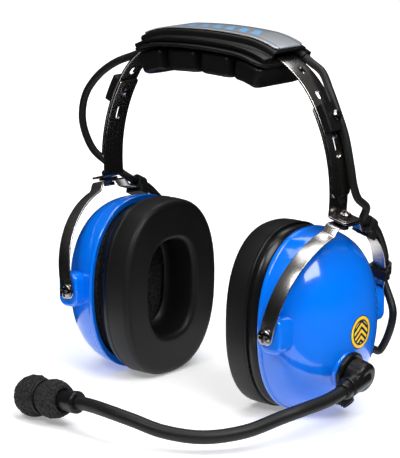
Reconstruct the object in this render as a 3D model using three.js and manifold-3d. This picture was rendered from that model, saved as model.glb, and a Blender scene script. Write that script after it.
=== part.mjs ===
// A pilot's headset: two ear cups in wire-like steel stirrups, a spring-steel
// headband with a padded top, sliding height arms and a gooseneck microphone boom.
// Millimetres, +Z up. The wearer looks along -Y, so +X is the wearer's left.
import * as THREE from 'three';
import { mergeVertices } from 'three/addons/utils/BufferGeometryUtils.js';
import Module from 'manifold-3d';

const wasm = await Module();
wasm.setup();

// ---- driving dimensions ---------------------------------------------------

const GAP = 0.35; // air kept between pieces that touch on the real object
const FIT = 0.4; // air round a shaft in its hole

// Headband: a crown arc, two shoulder arcs and two side arcs, all tangent.
const ARCH_HALF_WIDTH = 84;
const SIDE_RADIUS = 95;
const SIDE_TO_SHOULDER = THREE.MathUtils.degToRad(33);
const SHOULDER_RADIUS = 55.5;
const CROWN_RISE = 0.9; // how far the crown stands above the shoulder circles
const STRAP_WIDTH = 16;
const STRAP_THICKNESS = 1.2;

// Height adjustment, measured up the strap from the band's lower end.
const HEIGHT_TRAVEL = THREE.MathUtils.degToRad(12);
const ARM_TOP = 51;
const CLAMP_UP = 43;
const CLAMP_LENGTH = 15;
const CLAMP_FRONT = 7.5; // from the strap's middle to the block's front side
const CLAMP_REAR = 2.6;
const CLAMP_THICKNESS = 4.5;
const CLAMP_CHAMFER = 0.8;
const CLAMP_SCREW_RADIUS = 1.6;
const ARM_WINDOW_UP = 29;
const ARM_WINDOW = [9, 4.4];
const DETENT = [5.4, 4];
const DETENT_UPS = [57, 74];

// Cup, in its own frame: pivot axis at the origin, +X away from the head.
const CUP_DROP = 1.5; // the cup's middle below its pivots
const CUP_HALF_HEIGHT = 51;
const CUP_HALF_WIDTH = 42;
const CUP_RIM = -12; // from the pivot axis
const CUP_APEX = 25;
const CUP_DEPTH = CUP_APEX - CUP_RIM;
const CUP_WALL = 2.6;
const CUP_SECTION_POWER = 2.25;
const CUP_SIDE_POWER = 2.6;
const CUP_NOSE_POWER = 2.05;
const CUP_LIP = 0.6;
const CUP_LIP_WIDTH = 3;
const LUG_WIDTH = 14;
const LUG_HEIGHT = 20;
const LUG_PROUD = 0.9; // air between lug and stirrup foot

// Stirrup and its pivots.
const PIVOT_HALF_SPAN = 73; // cup pivots, out from the middle plane
const STIRRUP_LEAN = THREE.MathUtils.degToRad(13.3); // outwards at the top
const STIRRUP_BESIDE_CUP = 8;
const STIRRUP_OVER_CUP = 7.5;
const STIRRUP_HALF_WIDTH = CUP_HALF_WIDTH + STIRRUP_BESIDE_CUP;
const STIRRUP_HEIGHT = CUP_HALF_HEIGHT - CUP_DROP + STIRRUP_OVER_CUP;
const BAND_OVER_STIRRUP = 13; // from the stirrup's top up to the band's lower ends
const SIDE_CENTRE_HEIGHT = STIRRUP_HEIGHT + BAND_OVER_STIRRUP; // above the cup pivots
const STIRRUP_STRAP = 9;
const STIRRUP_THICKNESS = 1;
const STIRRUP_STEP = 4.588; // the flat under the arm is raised by this
const STIRRUP_FLAT = 19;
const STIRRUP_BEND = 3; // from the flat's edge out to the foot of the step
const STIRRUP_SPRING = 4; // height at which the legs turn straight
const STIRRUP_FOOT = 5; // below the pivot
const PIVOT_SHANK_RADIUS = 1.6;
const PIVOT_HEAD_RADIUS = 4.2;
const PIVOT_HEAD_HEIGHT = 2.6;
const PIVOT_SHANK_LENGTH = 7;
const SWIVEL_SHANK_RADIUS = 1.6;
const SWIVEL_HEAD_RADIUS = 3.4;
const SWIVEL_HEAD_HEIGHT = 3.4;
const SWIVEL_SHANK_PAST_STRAP = 2.4;
const NUT_HEIGHT = 2;
const WASHER_RADIUS = 5.6;
const WASHER_THICKNESS = 1.2;
const FLANGE_OUT = 6.5; // past the swivel

// Ear seal and what it closes.
const SEAL_DEPTH = 22.5;
const SEAL_OVER_CUP = 1; // taller than the cup by this, each way
const SEAL_INSIDE_CUP = 1.5; // narrower than the cup by this, each way
const SEAL_HALF_HEIGHT = CUP_HALF_HEIGHT + SEAL_OVER_CUP;
const SEAL_HALF_WIDTH = CUP_HALF_WIDTH - SEAL_INSIDE_CUP;
const OPENING_HALF_HEIGHT = 28.5;
const OPENING_HALF_WIDTH = 20;
const OPENING_POWER = 2.6;
const SEAL_ROUND = 3.5;
const SEAL_SEAM = 15.5; // from the face to the seam
const SEAL_POWER = 2.35;
const PLATE_THICKNESS = 2.2;
const PLATE_INSET = 4;
const LINER_THICKNESS = 7;
const SPEAKER_RADIUS = 19;
const SPEAKER_DEPTH = 11;

// Lead between the cups.
const LEAD_RADIUS = 2.25;
const LEAD_SIDES = 7;
const CLIP_LENGTH = 6.5;
const CLIP_WALL = 1.6;
const CLIP_RISE = LEAD_RADIUS + 2.35; // lead's middle above the stirrup strap's middle
const LEAD_BESIDE_STRAP = 0.55;
const TOP_LEAD_OFFSET = STRAP_WIDTH / 2 + LEAD_BESIDE_STRAP + LEAD_RADIUS; // behind the strap's middle
const TOP_LEAD_HEIGHT = 1.8; // above the strap's middle

// Head pad, measured along the strap from the crown.
const COVER_HALF_LENGTH = 47;
const COVER_WALL = 1.4;
const COVER_BESIDE_LEAD = 0.95; // from the lead to the outside of the cover's top
const COVER_TOP_WIDTH = 2 * (TOP_LEAD_OFFSET + LEAD_RADIUS + COVER_BESIDE_LEAD);
const COVER_LEDGE = 7; // how far the foot stands out past the top
const COVER_FOOT_WIDTH = COVER_TOP_WIDTH + 2 * COVER_LEDGE;
const COVER_HEIGHT = STRAP_THICKNESS / 2 + TOP_LEAD_HEIGHT + LEAD_RADIUS + GAP + COVER_WALL;
const COVER_SPLAY = 2.5; // how much wider the inside is at the foot
const BASE_LEDGE = 4;
const BASE_WIDTH = COVER_FOOT_WIDTH + 2 * BASE_LEDGE;
const BASE_THICKNESS = 2;
const CELL_COUNT = 4;
const CELL_SPACE = 1.6;
const CELL_WIDTH = BASE_WIDTH - 5;
const CELL_HEIGHT = 14.5;
const CELL_ROUND = 4;
const LABEL_WIDTH = COVER_TOP_WIDTH - 3;
const LABEL_THICKNESS = 0.8;

// Boom.
const BOOM_RADIUS = 3.7;
const BOOM_SIDES = 9;
const SWIVEL_AHEAD = 5.6; // of the cup's pivots
const SWIVEL_BELOW = 24.2;
const SWIVEL_LIFT = 0.67; // of the disc's foot over the shell
const SWIVEL_TILT = THREE.MathUtils.degToRad(12);
const DISC_RADIUS = 10.8;
const DISC_THICKNESS = 2.5;
const BOSS_RADIUS = 11.3;
const HOUSING_RADIUS = 8.6;
const HOUSING_DEPTH = 10.5;
const BARREL_RADIUS = 5.9;
const COLLAR_RADIUS = 5.3;
const COLLAR_LENGTH = 4.5;
const HOLDER_RADIUS = 5.6;
const HOLDER_LENGTH = 22;
const CAPSULE_RADIUS = 4.6;
const CAPSULE_LENGTH = 7;
const MUFF_BALL_RADIUS = 11.6;
const MUFF_NECK_RADIUS = 10.8;
const MUFF_WAIST_RADIUS = 8.2;
const MUFF_BORE_RADIUS = 6.1;
const MUFF_RING_THICKNESS = 1.5;

// Where the headset stands: its lowest point on the floor, its box over the origin.
const STAND_HEIGHT = CUP_DROP + SEAL_HALF_HEIGHT;
const SIDE_SHIFT = 2.3;
const FORE_AFT_SHIFT = 33.2;

// ---- materials --------------------------------------------------------------

function finish(color, roughness, metalness) {
  return new THREE.MeshStandardMaterial({ color, roughness, metalness });
}

const BLUE = finish(0x0a63d8, 0.15, 0);
const STEEL = finish(0xb9b5b0, 0.35, 1);
const DARK_STEEL = finish(0x55504c, 0.25, 1);
const BLACK_PLASTIC = finish(0x17171a, 0.35, 0);
const BLACK_VINYL = finish(0x1b1a1b, 0.55, 0);
const BLACK_FOAM = finish(0x141416, 0.95, 0);
const BLACK_RUBBER = finish(0x1d1d1f, 0.6, 0);
const LABEL_PRINT = finish(0x9fb6c9, 0.4, 0);
const GREEN_BOARD = finish(0x1d5a34, 0.5, 0);

// ---- solids -----------------------------------------------------------------

// Merges shared vertices, drops the collapsed triangles at poles, turns an
// inside-out shape round, and makes the solid that booleans work on.
function solid(geometry) {
  const bare = geometry.clone();
  bare.deleteAttribute('normal');
  bare.deleteAttribute('uv');
  const merged = mergeVertices(bare, 1e-4);
  const index = merged.index.array;
  const kept = [];
  for (let i = 0; i < index.length; i += 3) {
    const [a, b, c] = [index[i], index[i + 1], index[i + 2]];
    if (a !== b && b !== c && c !== a) kept.push(a, b, c);
  }
  const vertProperties = new Float32Array(merged.attributes.position.array);
  const at = (i) => new THREE.Vector3().fromArray(vertProperties, 3 * i);
  let volume = 0;
  for (let i = 0; i < kept.length; i += 3) {
    volume += at(kept[i]).dot(at(kept[i + 1]).cross(at(kept[i + 2])));
  }
  if (volume < 0) kept.reverse();
  const mesh = new wasm.Mesh({ numProp: 3, vertProperties, triVerts: new Uint32Array(kept) });
  return new wasm.Manifold(mesh);
}

function geometryOf(manifold) {
  const mesh = manifold.getMesh();
  const geometry = new THREE.BufferGeometry();
  geometry.setAttribute('position', new THREE.BufferAttribute(mesh.vertProperties, 3));
  geometry.setIndex(new THREE.BufferAttribute(mesh.triVerts, 1));
  geometry.computeVertexNormals();
  return geometry;
}

function part(name, shape, material) {
  const geometry = shape.isBufferGeometry ? geometryOf(solid(shape)) : geometryOf(shape);
  const mesh = new THREE.Mesh(geometry, material);
  mesh.name = name;
  return mesh;
}

// A round bar along +Z from z = 0.
function rod(radius, length, sides = 12) {
  return new THREE.CylinderGeometry(radius, radius, length, sides)
    .rotateX(Math.PI / 2)
    .translate(0, 0, length / 2);
}

// A turned shape about Z from [radius, z] pairs.
function turned(profile, sides = 14) {
  const points = profile.map(([r, z]) => new THREE.Vector2(r, z));
  return new THREE.LatheGeometry(points, sides).rotateX(Math.PI / 2);
}

// A screw along -Z with its head's underside at z = 0 and a cross in the head.
function screw(headRadius, headHeight, shankRadius, shankLength) {
  const body = solid(turned([
    [0, -shankLength],
    [shankRadius, -shankLength],
    [shankRadius, 0],
    [headRadius, 0],
    [headRadius, headHeight * 0.45],
    [headRadius * 0.7, headHeight],
    [0, headHeight],
  ], 10));
  const slot = new THREE.BoxGeometry(headRadius * 1.1, headHeight * 0.22, headHeight * 0.5);
  slot.translate(0, 0, headHeight);
  return body.subtract(solid(slot)).subtract(solid(slot.clone().rotateZ(Math.PI / 2)));
}

// A rectangle with rounded corners, as a flat shape about the origin.
function roundedRectangle(width, height, radius) {
  const [w, h] = [width / 2, height / 2];
  const shape = new THREE.Shape();
  shape.absarc(w - radius, h - radius, radius, 0, Math.PI / 2);
  shape.absarc(radius - w, h - radius, radius, Math.PI / 2, Math.PI);
  shape.absarc(radius - w, radius - h, radius, Math.PI, 1.5 * Math.PI);
  shape.absarc(w - radius, radius - h, radius, 1.5 * Math.PI, 2 * Math.PI);
  return shape;
}

// A flat shape thickened evenly about z = 0.
function slab(shape, thickness, curveSegments = 3) {
  return new THREE.ExtrudeGeometry(shape, { depth: thickness, bevelEnabled: false, curveSegments })
    .translate(0, 0, -thickness / 2);
}

// ---- ovals ------------------------------------------------------------------

// A point and outward normal on the superellipse |y/a|^n + |z/b|^n = 1.
function ovalPoint(a, b, n, t) {
  const [c, s] = [Math.cos(t), Math.sin(t)];
  const power = (v, e) => Math.sign(v) * Math.abs(v) ** e;
  const normal = new THREE.Vector2(power(c, 2 - 2 / n) / a, power(s, 2 - 2 / n) / b).normalize();
  return { y: a * power(c, 2 / n), z: b * power(s, 2 / n), ny: normal.x, nz: normal.y };
}

// A ring whose section is [inset, x] pairs: an inset of 0 or more is measured in from
// the outer oval, and a negative one out from the opening's oval.
function ovalRing(section, outer, opening, segments = 32) {
  const hub = 1000; // a lathe radius that no inset can turn negative
  const closed = [...section, section[0]];
  const ring = new THREE.LatheGeometry(closed.map(([o, x]) => new THREE.Vector2(hub + o, x)), segments);
  const position = ring.attributes.position;
  for (let i = 0; i < position.count; i++) {
    const [across, x, along] = [position.getX(i), position.getY(i), position.getZ(i)];
    const inset = Math.hypot(across, along) - hub;
    const angle = Math.atan2(along, across);
    const oval = inset > -0.001 ? outer : opening;
    const p = ovalPoint(...oval, angle);
    position.setXYZ(i, x, p.y - inset * p.ny, p.z - inset * p.nz);
  }
  return ring;
}

// A dome over the oval: its outline shrinks to nothing at the apex.
function ovalDome(a, b, depth, segments = 30, rings = 7) {
  const profile = [new THREE.Vector2(0, 0)];
  for (let i = 0; i <= rings; i++) {
    const s = (i / rings) * (Math.PI / 2);
    const scale = Math.cos(s) ** (2 / CUP_NOSE_POWER);
    profile.push(new THREE.Vector2(i === rings ? 0 : scale, depth * Math.sin(s) ** (2 / CUP_SIDE_POWER)));
  }
  const dome = new THREE.LatheGeometry(profile, segments);
  const position = dome.attributes.position;
  for (let i = 0; i < position.count; i++) {
    const [across, x, along] = [position.getX(i), position.getY(i), position.getZ(i)];
    const scale = Math.hypot(across, along);
    const p = ovalPoint(a, b, CUP_SECTION_POWER, Math.atan2(along, across));
    position.setXYZ(i, x, scale * p.y, scale * p.z);
  }
  return dome;
}

// A flat oval plate between two x planes.
function ovalPlate(a, b, n, x0, x1, segments = 40) {
  const shape = new THREE.Shape();
  for (let i = 0; i < segments; i++) {
    const p = ovalPoint(a, b, n, (2 * Math.PI * i) / segments);
    if (i === 0) shape.moveTo(p.y, p.z);
    else shape.lineTo(p.y, p.z);
  }
  return new THREE.ExtrudeGeometry(shape, { depth: x1 - x0, bevelEnabled: false })
    .applyMatrix4(new THREE.Matrix4().makeBasis(
      new THREE.Vector3(0, 1, 0),
      new THREE.Vector3(0, 0, 1),
      new THREE.Vector3(1, 0, 0),
    ))
    .translate(x0, 0, 0);
}

// ---- headband curve ---------------------------------------------------------

const SIDE_CENTRE_X = ARCH_HALF_WIDTH - SIDE_RADIUS;
const SHOULDER = {
  x: SIDE_CENTRE_X + (SIDE_RADIUS - SHOULDER_RADIUS) * Math.cos(SIDE_TO_SHOULDER),
  z: SIDE_CENTRE_HEIGHT + (SIDE_RADIUS - SHOULDER_RADIUS) * Math.sin(SIDE_TO_SHOULDER),
};
const SHOULDER_TO_CROWN = Math.PI / 2 - 2 * Math.atan(CROWN_RISE / SHOULDER.x);
const CROWN_RADIUS = SHOULDER_RADIUS + SHOULDER.x / Math.cos(SHOULDER_TO_CROWN);
const CROWN_Z = SHOULDER.z - (CROWN_RADIUS - SHOULDER_RADIUS) * Math.sin(SHOULDER_TO_CROWN);
const CROWN_LENGTH = CROWN_RADIUS * (Math.PI / 2 - SHOULDER_TO_CROWN);
const SHOULDER_LENGTH = SHOULDER_RADIUS * (SHOULDER_TO_CROWN - SIDE_TO_SHOULDER);
const SIDE_LENGTH = SIDE_RADIUS * SIDE_TO_SHOULDER;
const BAND_HALF_LENGTH = CROWN_LENGTH + SHOULDER_LENGTH + SIDE_LENGTH;

// The strap's middle at distance s along it from the crown, and its outward normal.
function bandStation(s) {
  const distance = Math.abs(s);
  let centre = { x: 0, z: CROWN_Z };
  let radius = CROWN_RADIUS;
  let angle = Math.PI / 2 - distance / CROWN_RADIUS;
  if (distance > CROWN_LENGTH + SHOULDER_LENGTH) {
    centre = { x: SIDE_CENTRE_X, z: SIDE_CENTRE_HEIGHT };
    radius = SIDE_RADIUS;
    angle = SIDE_TO_SHOULDER - (distance - CROWN_LENGTH - SHOULDER_LENGTH) / SIDE_RADIUS;
  } else if (distance > CROWN_LENGTH) {
    centre = SHOULDER;
    radius = SHOULDER_RADIUS;
    angle = SHOULDER_TO_CROWN - (distance - CROWN_LENGTH) / SHOULDER_RADIUS;
  }
  const side = s < 0 ? -1 : 1;
  const [nx, nz] = [Math.cos(angle), Math.sin(angle)];
  return { x: side * (centre.x + radius * nx), z: centre.z + radius * nz, nx: side * nx, nz };
}

// Bends a straight shape (x along the strap, y across, z outwards) round the band.
function wrapped(geometry) {
  const position = geometry.attributes.position;
  for (let i = 0; i < position.count; i++) {
    const station = bandStation(position.getX(i));
    const out = position.getZ(i);
    position.setXYZ(i, station.x + out * station.nx, position.getY(i), station.z + out * station.nz);
  }
  return geometry;
}

// A flat section (x = across, y = outwards) carried along the strap from s0 to s1.
function alongBand(section, s0, s1, steps, curveSegments = 4) {
  const depth = s1 - s0;
  const straight = new THREE.ExtrudeGeometry(section, { depth, steps, bevelEnabled: false, curveSegments });
  straight.applyMatrix4(new THREE.Matrix4().makeBasis(
    new THREE.Vector3(0, 1, 0),
    new THREE.Vector3(0, 0, 1),
    new THREE.Vector3(1, 0, 0),
  ));
  return wrapped(straight.translate(s0, 0, 0));
}

function rectangleSection(width, low, high) {
  const shape = new THREE.Shape();
  shape.moveTo(-width / 2, low);
  shape.lineTo(width / 2, low);
  shape.lineTo(width / 2, high);
  shape.lineTo(-width / 2, high);
  return shape;
}

// A cutter through the strap at s: a slot `length` long and `width` wide.
function strapSlot(s, length, width, reach = 4) {
  const outline = roundedRectangle(length, width, width / 2 - 0.01);
  return solid(wrapped(slab(outline, 2 * reach).translate(s, 0, 0)));
}

// ---- head pad ---------------------------------------------------------------

const HALF_STRAP = STRAP_THICKNESS / 2;
const BASE_TOP = -HALF_STRAP - GAP;
const BASE_BOTTOM = BASE_TOP - BASE_THICKNESS;
const COVER_FOOT = BASE_TOP + GAP;
const COVER_TOP = COVER_FOOT + COVER_HEIGHT;

function headbandSpring() {
  const end = BAND_HALF_LENGTH;
  let strap = solid(alongBand(rectangleSection(STRAP_WIDTH, -HALF_STRAP, HALF_STRAP), -end, end, 38));
  const travel = SIDE_RADIUS * HEIGHT_TRAVEL;
  const play = CLAMP_SCREW_RADIUS + FIT;
  for (const side of [-1, 1]) {
    const middle = side * (end - CLAMP_UP + travel / 2);
    strap = strap.subtract(strapSlot(middle, travel + 2 * play, 2 * play));
    for (const up of DETENT_UPS) strap = strap.subtract(strapSlot(side * (end - up), ...DETENT));
  }
  return part('headband_spring', strap, STEEL);
}

// The moulded cover is a channel, open below, over the strap and the lead.
function padCover() {
  const section = new THREE.Shape();
  const [foot, top] = [COVER_FOOT_WIDTH / 2, COVER_TOP_WIDTH / 2];
  const ledge = COVER_FOOT + 2.2;
  section.moveTo(-foot, COVER_FOOT);
  section.lineTo(-foot, ledge);
  section.lineTo(-top, COVER_TOP - 1);
  section.lineTo(1 - top, COVER_TOP);
  section.lineTo(top - 1, COVER_TOP);
  section.lineTo(top, COVER_TOP - 1);
  section.lineTo(foot, ledge);
  section.lineTo(foot, COVER_FOOT);
  section.lineTo(top - COVER_WALL + COVER_SPLAY, COVER_FOOT);
  section.lineTo(top - COVER_WALL, COVER_TOP - COVER_WALL);
  section.lineTo(COVER_WALL - top, COVER_TOP - COVER_WALL);
  section.lineTo(COVER_WALL - top - COVER_SPLAY, COVER_FOOT);
  return part('pad_cover', alongBand(section, -COVER_HALF_LENGTH, COVER_HALF_LENGTH, 12), BLACK_VINYL);
}

function padBase() {
  const section = rectangleSection(BASE_WIDTH, BASE_BOTTOM, BASE_TOP);
  const reach = COVER_HALF_LENGTH + 2;
  return part('pad_base', alongBand(section, -reach, reach, 12), BLACK_PLASTIC);
}

function padCell(number) {
  const reach = COVER_HALF_LENGTH + 2;
  const pitch = (2 * reach + CELL_SPACE) / CELL_COUNT;
  const start = -reach + (number - 1) * pitch;
  const top = BASE_BOTTOM - FIT;
  const section = new THREE.Shape();
  const half = CELL_WIDTH / 2;
  const low = top - CELL_HEIGHT;
  section.moveTo(-half, top);
  section.lineTo(half, top);
  section.lineTo(half - 1, low + CELL_ROUND);
  section.absarc(half - 1 - CELL_ROUND, low + CELL_ROUND, CELL_ROUND, 0, -Math.PI / 2, true);
  section.absarc(1 + CELL_ROUND - half, low + CELL_ROUND, CELL_ROUND, -Math.PI / 2, -Math.PI, true);
  const cell = alongBand(section, start, start + pitch - CELL_SPACE, 4, 3);
  return part(`pad_cell_${number}`, cell, BLACK_FOAM);
}

function labelPlate() {
  const low = COVER_TOP + FIT;
  const section = rectangleSection(LABEL_WIDTH, low, low + LABEL_THICKNESS);
  const reach = COVER_HALF_LENGTH - 1;
  return part('label_plate', alongBand(section, -reach, reach, 12), LABEL_PRINT);
}

// ---- lead -------------------------------------------------------------------

function smoothLine(points) {
  return new THREE.CatmullRomCurve3(points, false, 'centripetal');
}

// A round tube whose middle follows a curve.
function tube(path, radius, sides, steps) {
  const section = new THREE.Shape();
  for (let i = 0; i < sides; i++) {
    const angle = (2 * Math.PI * i) / sides;
    if (i === 0) section.moveTo(radius, 0);
    else section.lineTo(radius * Math.cos(angle), radius * Math.sin(angle));
  }
  return new THREE.ExtrudeGeometry(section, { steps, bevelEnabled: false, extrudePath: path });
}

const LEAD_EXIT = COVER_HALF_LENGTH + 3;

function leadTop() {
  const points = [];
  for (let i = -7; i <= 7; i++) {
    const station = bandStation((LEAD_EXIT * i) / 7);
    points.push(new THREE.Vector3(
      station.x + TOP_LEAD_HEIGHT * station.nx,
      TOP_LEAD_OFFSET,
      station.z + TOP_LEAD_HEIGHT * station.nz,
    ));
  }
  return part('lead_top', tube(smoothLine(points), LEAD_RADIUS, LEAD_SIDES, 14), BLACK_RUBBER);
}

// ---- one side ---------------------------------------------------------------
// Everything below is made for the wearer's left. `rear` is the sign of the local
// +Y that points to the back of the head, because the other side is turned half round.

const ARM_OUT = -(STRAP_THICKNESS + GAP); // arm's middle, inside the band
const sideStation = (up) => BAND_HALF_LENGTH - up;

// Stirrup frame: origin on the pivot axis, +Z up the stirrup, +X out of its plane.
const STIRRUP_FRAME = new THREE.Matrix4()
  .makeTranslation(PIVOT_HALF_SPAN, 0, 0)
  .multiply(new THREE.Matrix4().makeRotationY(STIRRUP_LEAN));
const WASHER_LOW = STIRRUP_HEIGHT + STIRRUP_THICKNESS / 2 + GAP;
const FLANGE_MIDDLE = WASHER_LOW + WASHER_THICKNESS + GAP + HALF_STRAP;

function inStirrupFrame(geometry) {
  return geometry.applyMatrix4(STIRRUP_FRAME);
}

// How far below the band's end the arm's strap meets the flange.
function armFootUp() {
  const up = new THREE.Vector2(Math.sin(STIRRUP_LEAN), Math.cos(STIRRUP_LEAN));
  const pivot = new THREE.Vector2(PIVOT_HALF_SPAN - SIDE_CENTRE_X, -SIDE_CENTRE_HEIGHT);
  const height = pivot.dot(up) + FLANGE_MIDDLE;
  const radius = SIDE_RADIUS + ARM_OUT;
  return SIDE_RADIUS * (up.angle() - Math.acos(height / radius));
}

function sliderArm(name) {
  const section = rectangleSection(STRAP_WIDTH, ARM_OUT - HALF_STRAP, ARM_OUT + HALF_STRAP);
  const foot = sideStation(armFootUp());
  let arm = solid(alongBand(section, sideStation(ARM_TOP), foot, 10));
  const station = bandStation(foot);
  const footX = station.x + ARM_OUT * station.nx;
  const lift = (footX - PIVOT_HALF_SPAN) / Math.cos(STIRRUP_LEAN) - FLANGE_MIDDLE * Math.tan(STIRRUP_LEAN);
  const length = FLANGE_OUT - lift + HALF_STRAP;
  const flange = new THREE.BoxGeometry(length, STRAP_WIDTH, STRAP_THICKNESS)
    .translate(FLANGE_OUT - length / 2, 0, FLANGE_MIDDLE);
  arm = arm.add(solid(inStirrupFrame(flange)));
  const bore = rod(SWIVEL_SHANK_RADIUS + FIT, 6).translate(0, 0, FLANGE_MIDDLE - 3);
  arm = arm.subtract(solid(inStirrupFrame(bore)));
  arm = arm.subtract(clampBore());
  arm = arm.subtract(strapSlot(sideStation(ARM_WINDOW_UP), ...ARM_WINDOW));
  return part(name, arm, STEEL);
}

// A block on the band's outer face that leaves the strap's rear edge to the lead.
function clampBlock(name, rear) {
  const [low, high] = rear > 0 ? [-CLAMP_FRONT, CLAMP_REAR] : [-CLAMP_REAR, CLAMP_FRONT];
  const floor = HALF_STRAP + GAP;
  const roof = floor + CLAMP_THICKNESS;
  const section = new THREE.Shape();
  section.moveTo(low, floor);
  section.lineTo(high, floor);
  section.lineTo(high, roof - CLAMP_CHAMFER);
  section.lineTo(high - CLAMP_CHAMFER, roof);
  section.lineTo(low + CLAMP_CHAMFER, roof);
  section.lineTo(low, roof - CLAMP_CHAMFER);
  const s0 = sideStation(CLAMP_UP + CLAMP_LENGTH / 2);
  const block = solid(alongBand(section, s0, s0 + CLAMP_LENGTH, 3));
  return part(name, block.subtract(clampBore()), BLACK_PLASTIC);
}

function clampBore() {
  const play = 2 * (CLAMP_SCREW_RADIUS + FIT);
  return strapSlot(sideStation(CLAMP_UP), play, play, 12);
}

// A rivet-like screw through arm, band slot and block, headed on both ends.
function clampScrew(name) {
  const inner = ARM_OUT - HALF_STRAP - GAP;
  const outer = HALF_STRAP + GAP + CLAMP_THICKNESS + GAP;
  const profile = [
    [0, inner - 1.8],
    [2.2, inner - 1.8],
    [3, inner - 0.9],
    [3, inner],
    [CLAMP_SCREW_RADIUS, inner],
    [CLAMP_SCREW_RADIUS, outer],
    [3.1, outer],
    [3.1, outer + 1.2],
    [2, outer + 2.2],
    [0, outer + 2.2],
  ];
  const station = bandStation(sideStation(CLAMP_UP));
  const frame = new THREE.Matrix4().makeBasis(
    new THREE.Vector3(-station.nz, 0, station.nx),
    new THREE.Vector3(0, 1, 0).multiplyScalar(-1),
    new THREE.Vector3(station.nx, 0, station.nz),
  ).setPosition(station.x, 0, station.z);
  return part(name, turned(profile, 12).applyMatrix4(frame), DARK_STEEL);
}

// ---- stirrup ----------------------------------------------------------------

const STIRRUP_EDGE = STIRRUP_FLAT / 2;
const STIRRUP_SHOULDER = STIRRUP_EDGE + STIRRUP_BEND;
// Rise of the ellipse that the legs follow, so that it meets the foot of the step.
const STIRRUP_ARCH_RISE = (STIRRUP_HEIGHT - STIRRUP_STEP - STIRRUP_SPRING)
  / Math.sin(Math.acos(STIRRUP_SHOULDER / STIRRUP_HALF_WIDTH));

// The stirrup's side view: an offset of its middle line, from front foot to rear foot.
function stirrupLine(offset) {
  const a = STIRRUP_HALF_WIDTH + offset;
  const b = STIRRUP_ARCH_RISE + offset;
  const top = STIRRUP_HEIGHT + offset;
  const points = [[-a, -STIRRUP_FOOT]];
  const steps = 10;
  const last = Math.acos(STIRRUP_SHOULDER / a);
  for (let i = 0; i <= steps; i++) {
    const t = (last * i) / steps;
    points.push([-a * Math.cos(t), STIRRUP_SPRING + b * Math.sin(t)]);
  }
  points.push([-STIRRUP_EDGE + offset * 0.7, top]);
  return [...points, ...points.map(([y, z]) => [-y, z]).reverse()];
}

function stirrup(name) {
  const half = STIRRUP_THICKNESS / 2;
  const outline = [...stirrupLine(half), ...stirrupLine(-half).reverse()];
  const shape = new THREE.Shape(outline.map(([y, z]) => new THREE.Vector2(y, z)));
  const geometry = slab(shape, STIRRUP_STRAP).applyMatrix4(new THREE.Matrix4().makeBasis(
    new THREE.Vector3(0, 1, 0),
    new THREE.Vector3(0, 0, 1),
    new THREE.Vector3(1, 0, 0),
  ));
  let strap = solid(inStirrupFrame(geometry));
  const bore = rod(SWIVEL_SHANK_RADIUS + FIT, 6).translate(0, 0, STIRRUP_HEIGHT - 3);
  strap = strap.subtract(solid(inStirrupFrame(bore)));
  const reach = 2 * STIRRUP_HALF_WIDTH + 10;
  const pivots = rod(PIVOT_SHANK_RADIUS + FIT, reach).translate(0, 0, -reach / 2).rotateX(Math.PI / 2);
  strap = strap.subtract(solid(pivots.translate(PIVOT_HALF_SPAN, 0, 0)));
  return part(name, strap, STEEL);
}

function swivelScrew(name) {
  const low = STIRRUP_HEIGHT - STIRRUP_THICKNESS / 2 - SWIVEL_SHANK_PAST_STRAP;
  const head = FLANGE_MIDDLE + HALF_STRAP + GAP;
  const bolt = screw(SWIVEL_HEAD_RADIUS, SWIVEL_HEAD_HEIGHT, SWIVEL_SHANK_RADIUS, head - low);
  const mesh = part(name, bolt, DARK_STEEL);
  mesh.applyMatrix4(STIRRUP_FRAME.clone().multiply(new THREE.Matrix4().makeTranslation(0, 0, head)));
  return mesh;
}

function hexNut(name, bore) {
  const hole = rod(bore, NUT_HEIGHT + 2).translate(0, 0, -1);
  const nut = solid(rod(SWIVEL_HEAD_RADIUS, NUT_HEIGHT, 6)).subtract(solid(hole));
  const mesh = part(name, nut, DARK_STEEL);
  const low = STIRRUP_HEIGHT - STIRRUP_THICKNESS / 2 - GAP - NUT_HEIGHT;
  mesh.applyMatrix4(STIRRUP_FRAME.clone().multiply(new THREE.Matrix4().makeTranslation(0, 0, low)));
  return mesh;
}

function swivelWasher(name) {
  const ring = turned([
    [SWIVEL_SHANK_RADIUS + FIT, 0],
    [WASHER_RADIUS, 0],
    [WASHER_RADIUS, WASHER_THICKNESS],
    [SWIVEL_SHANK_RADIUS + FIT, WASHER_THICKNESS],
    [SWIVEL_SHANK_RADIUS + FIT, 0],
  ]);
  return part(name, inStirrupFrame(ring.translate(0, 0, WASHER_LOW)), BLACK_RUBBER);
}

// The point, tangent and outward normal of the stirrup at angle t up its rear leg.
function stirrupStation(t, rear) {
  const y = STIRRUP_HALF_WIDTH * Math.cos(t);
  const z = STIRRUP_SPRING + STIRRUP_ARCH_RISE * Math.sin(t);
  const tangent = new THREE.Vector3(
    0,
    -STIRRUP_HALF_WIDTH * Math.sin(t) * rear,
    STIRRUP_ARCH_RISE * Math.cos(t),
  ).normalize();
  const across = new THREE.Vector3(1, 0, 0);
  const normal = new THREE.Vector3().crossVectors(across, tangent).multiplyScalar(-rear);
  return { at: new THREE.Vector3(0, rear * y, z), across, tangent, normal };
}

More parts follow.
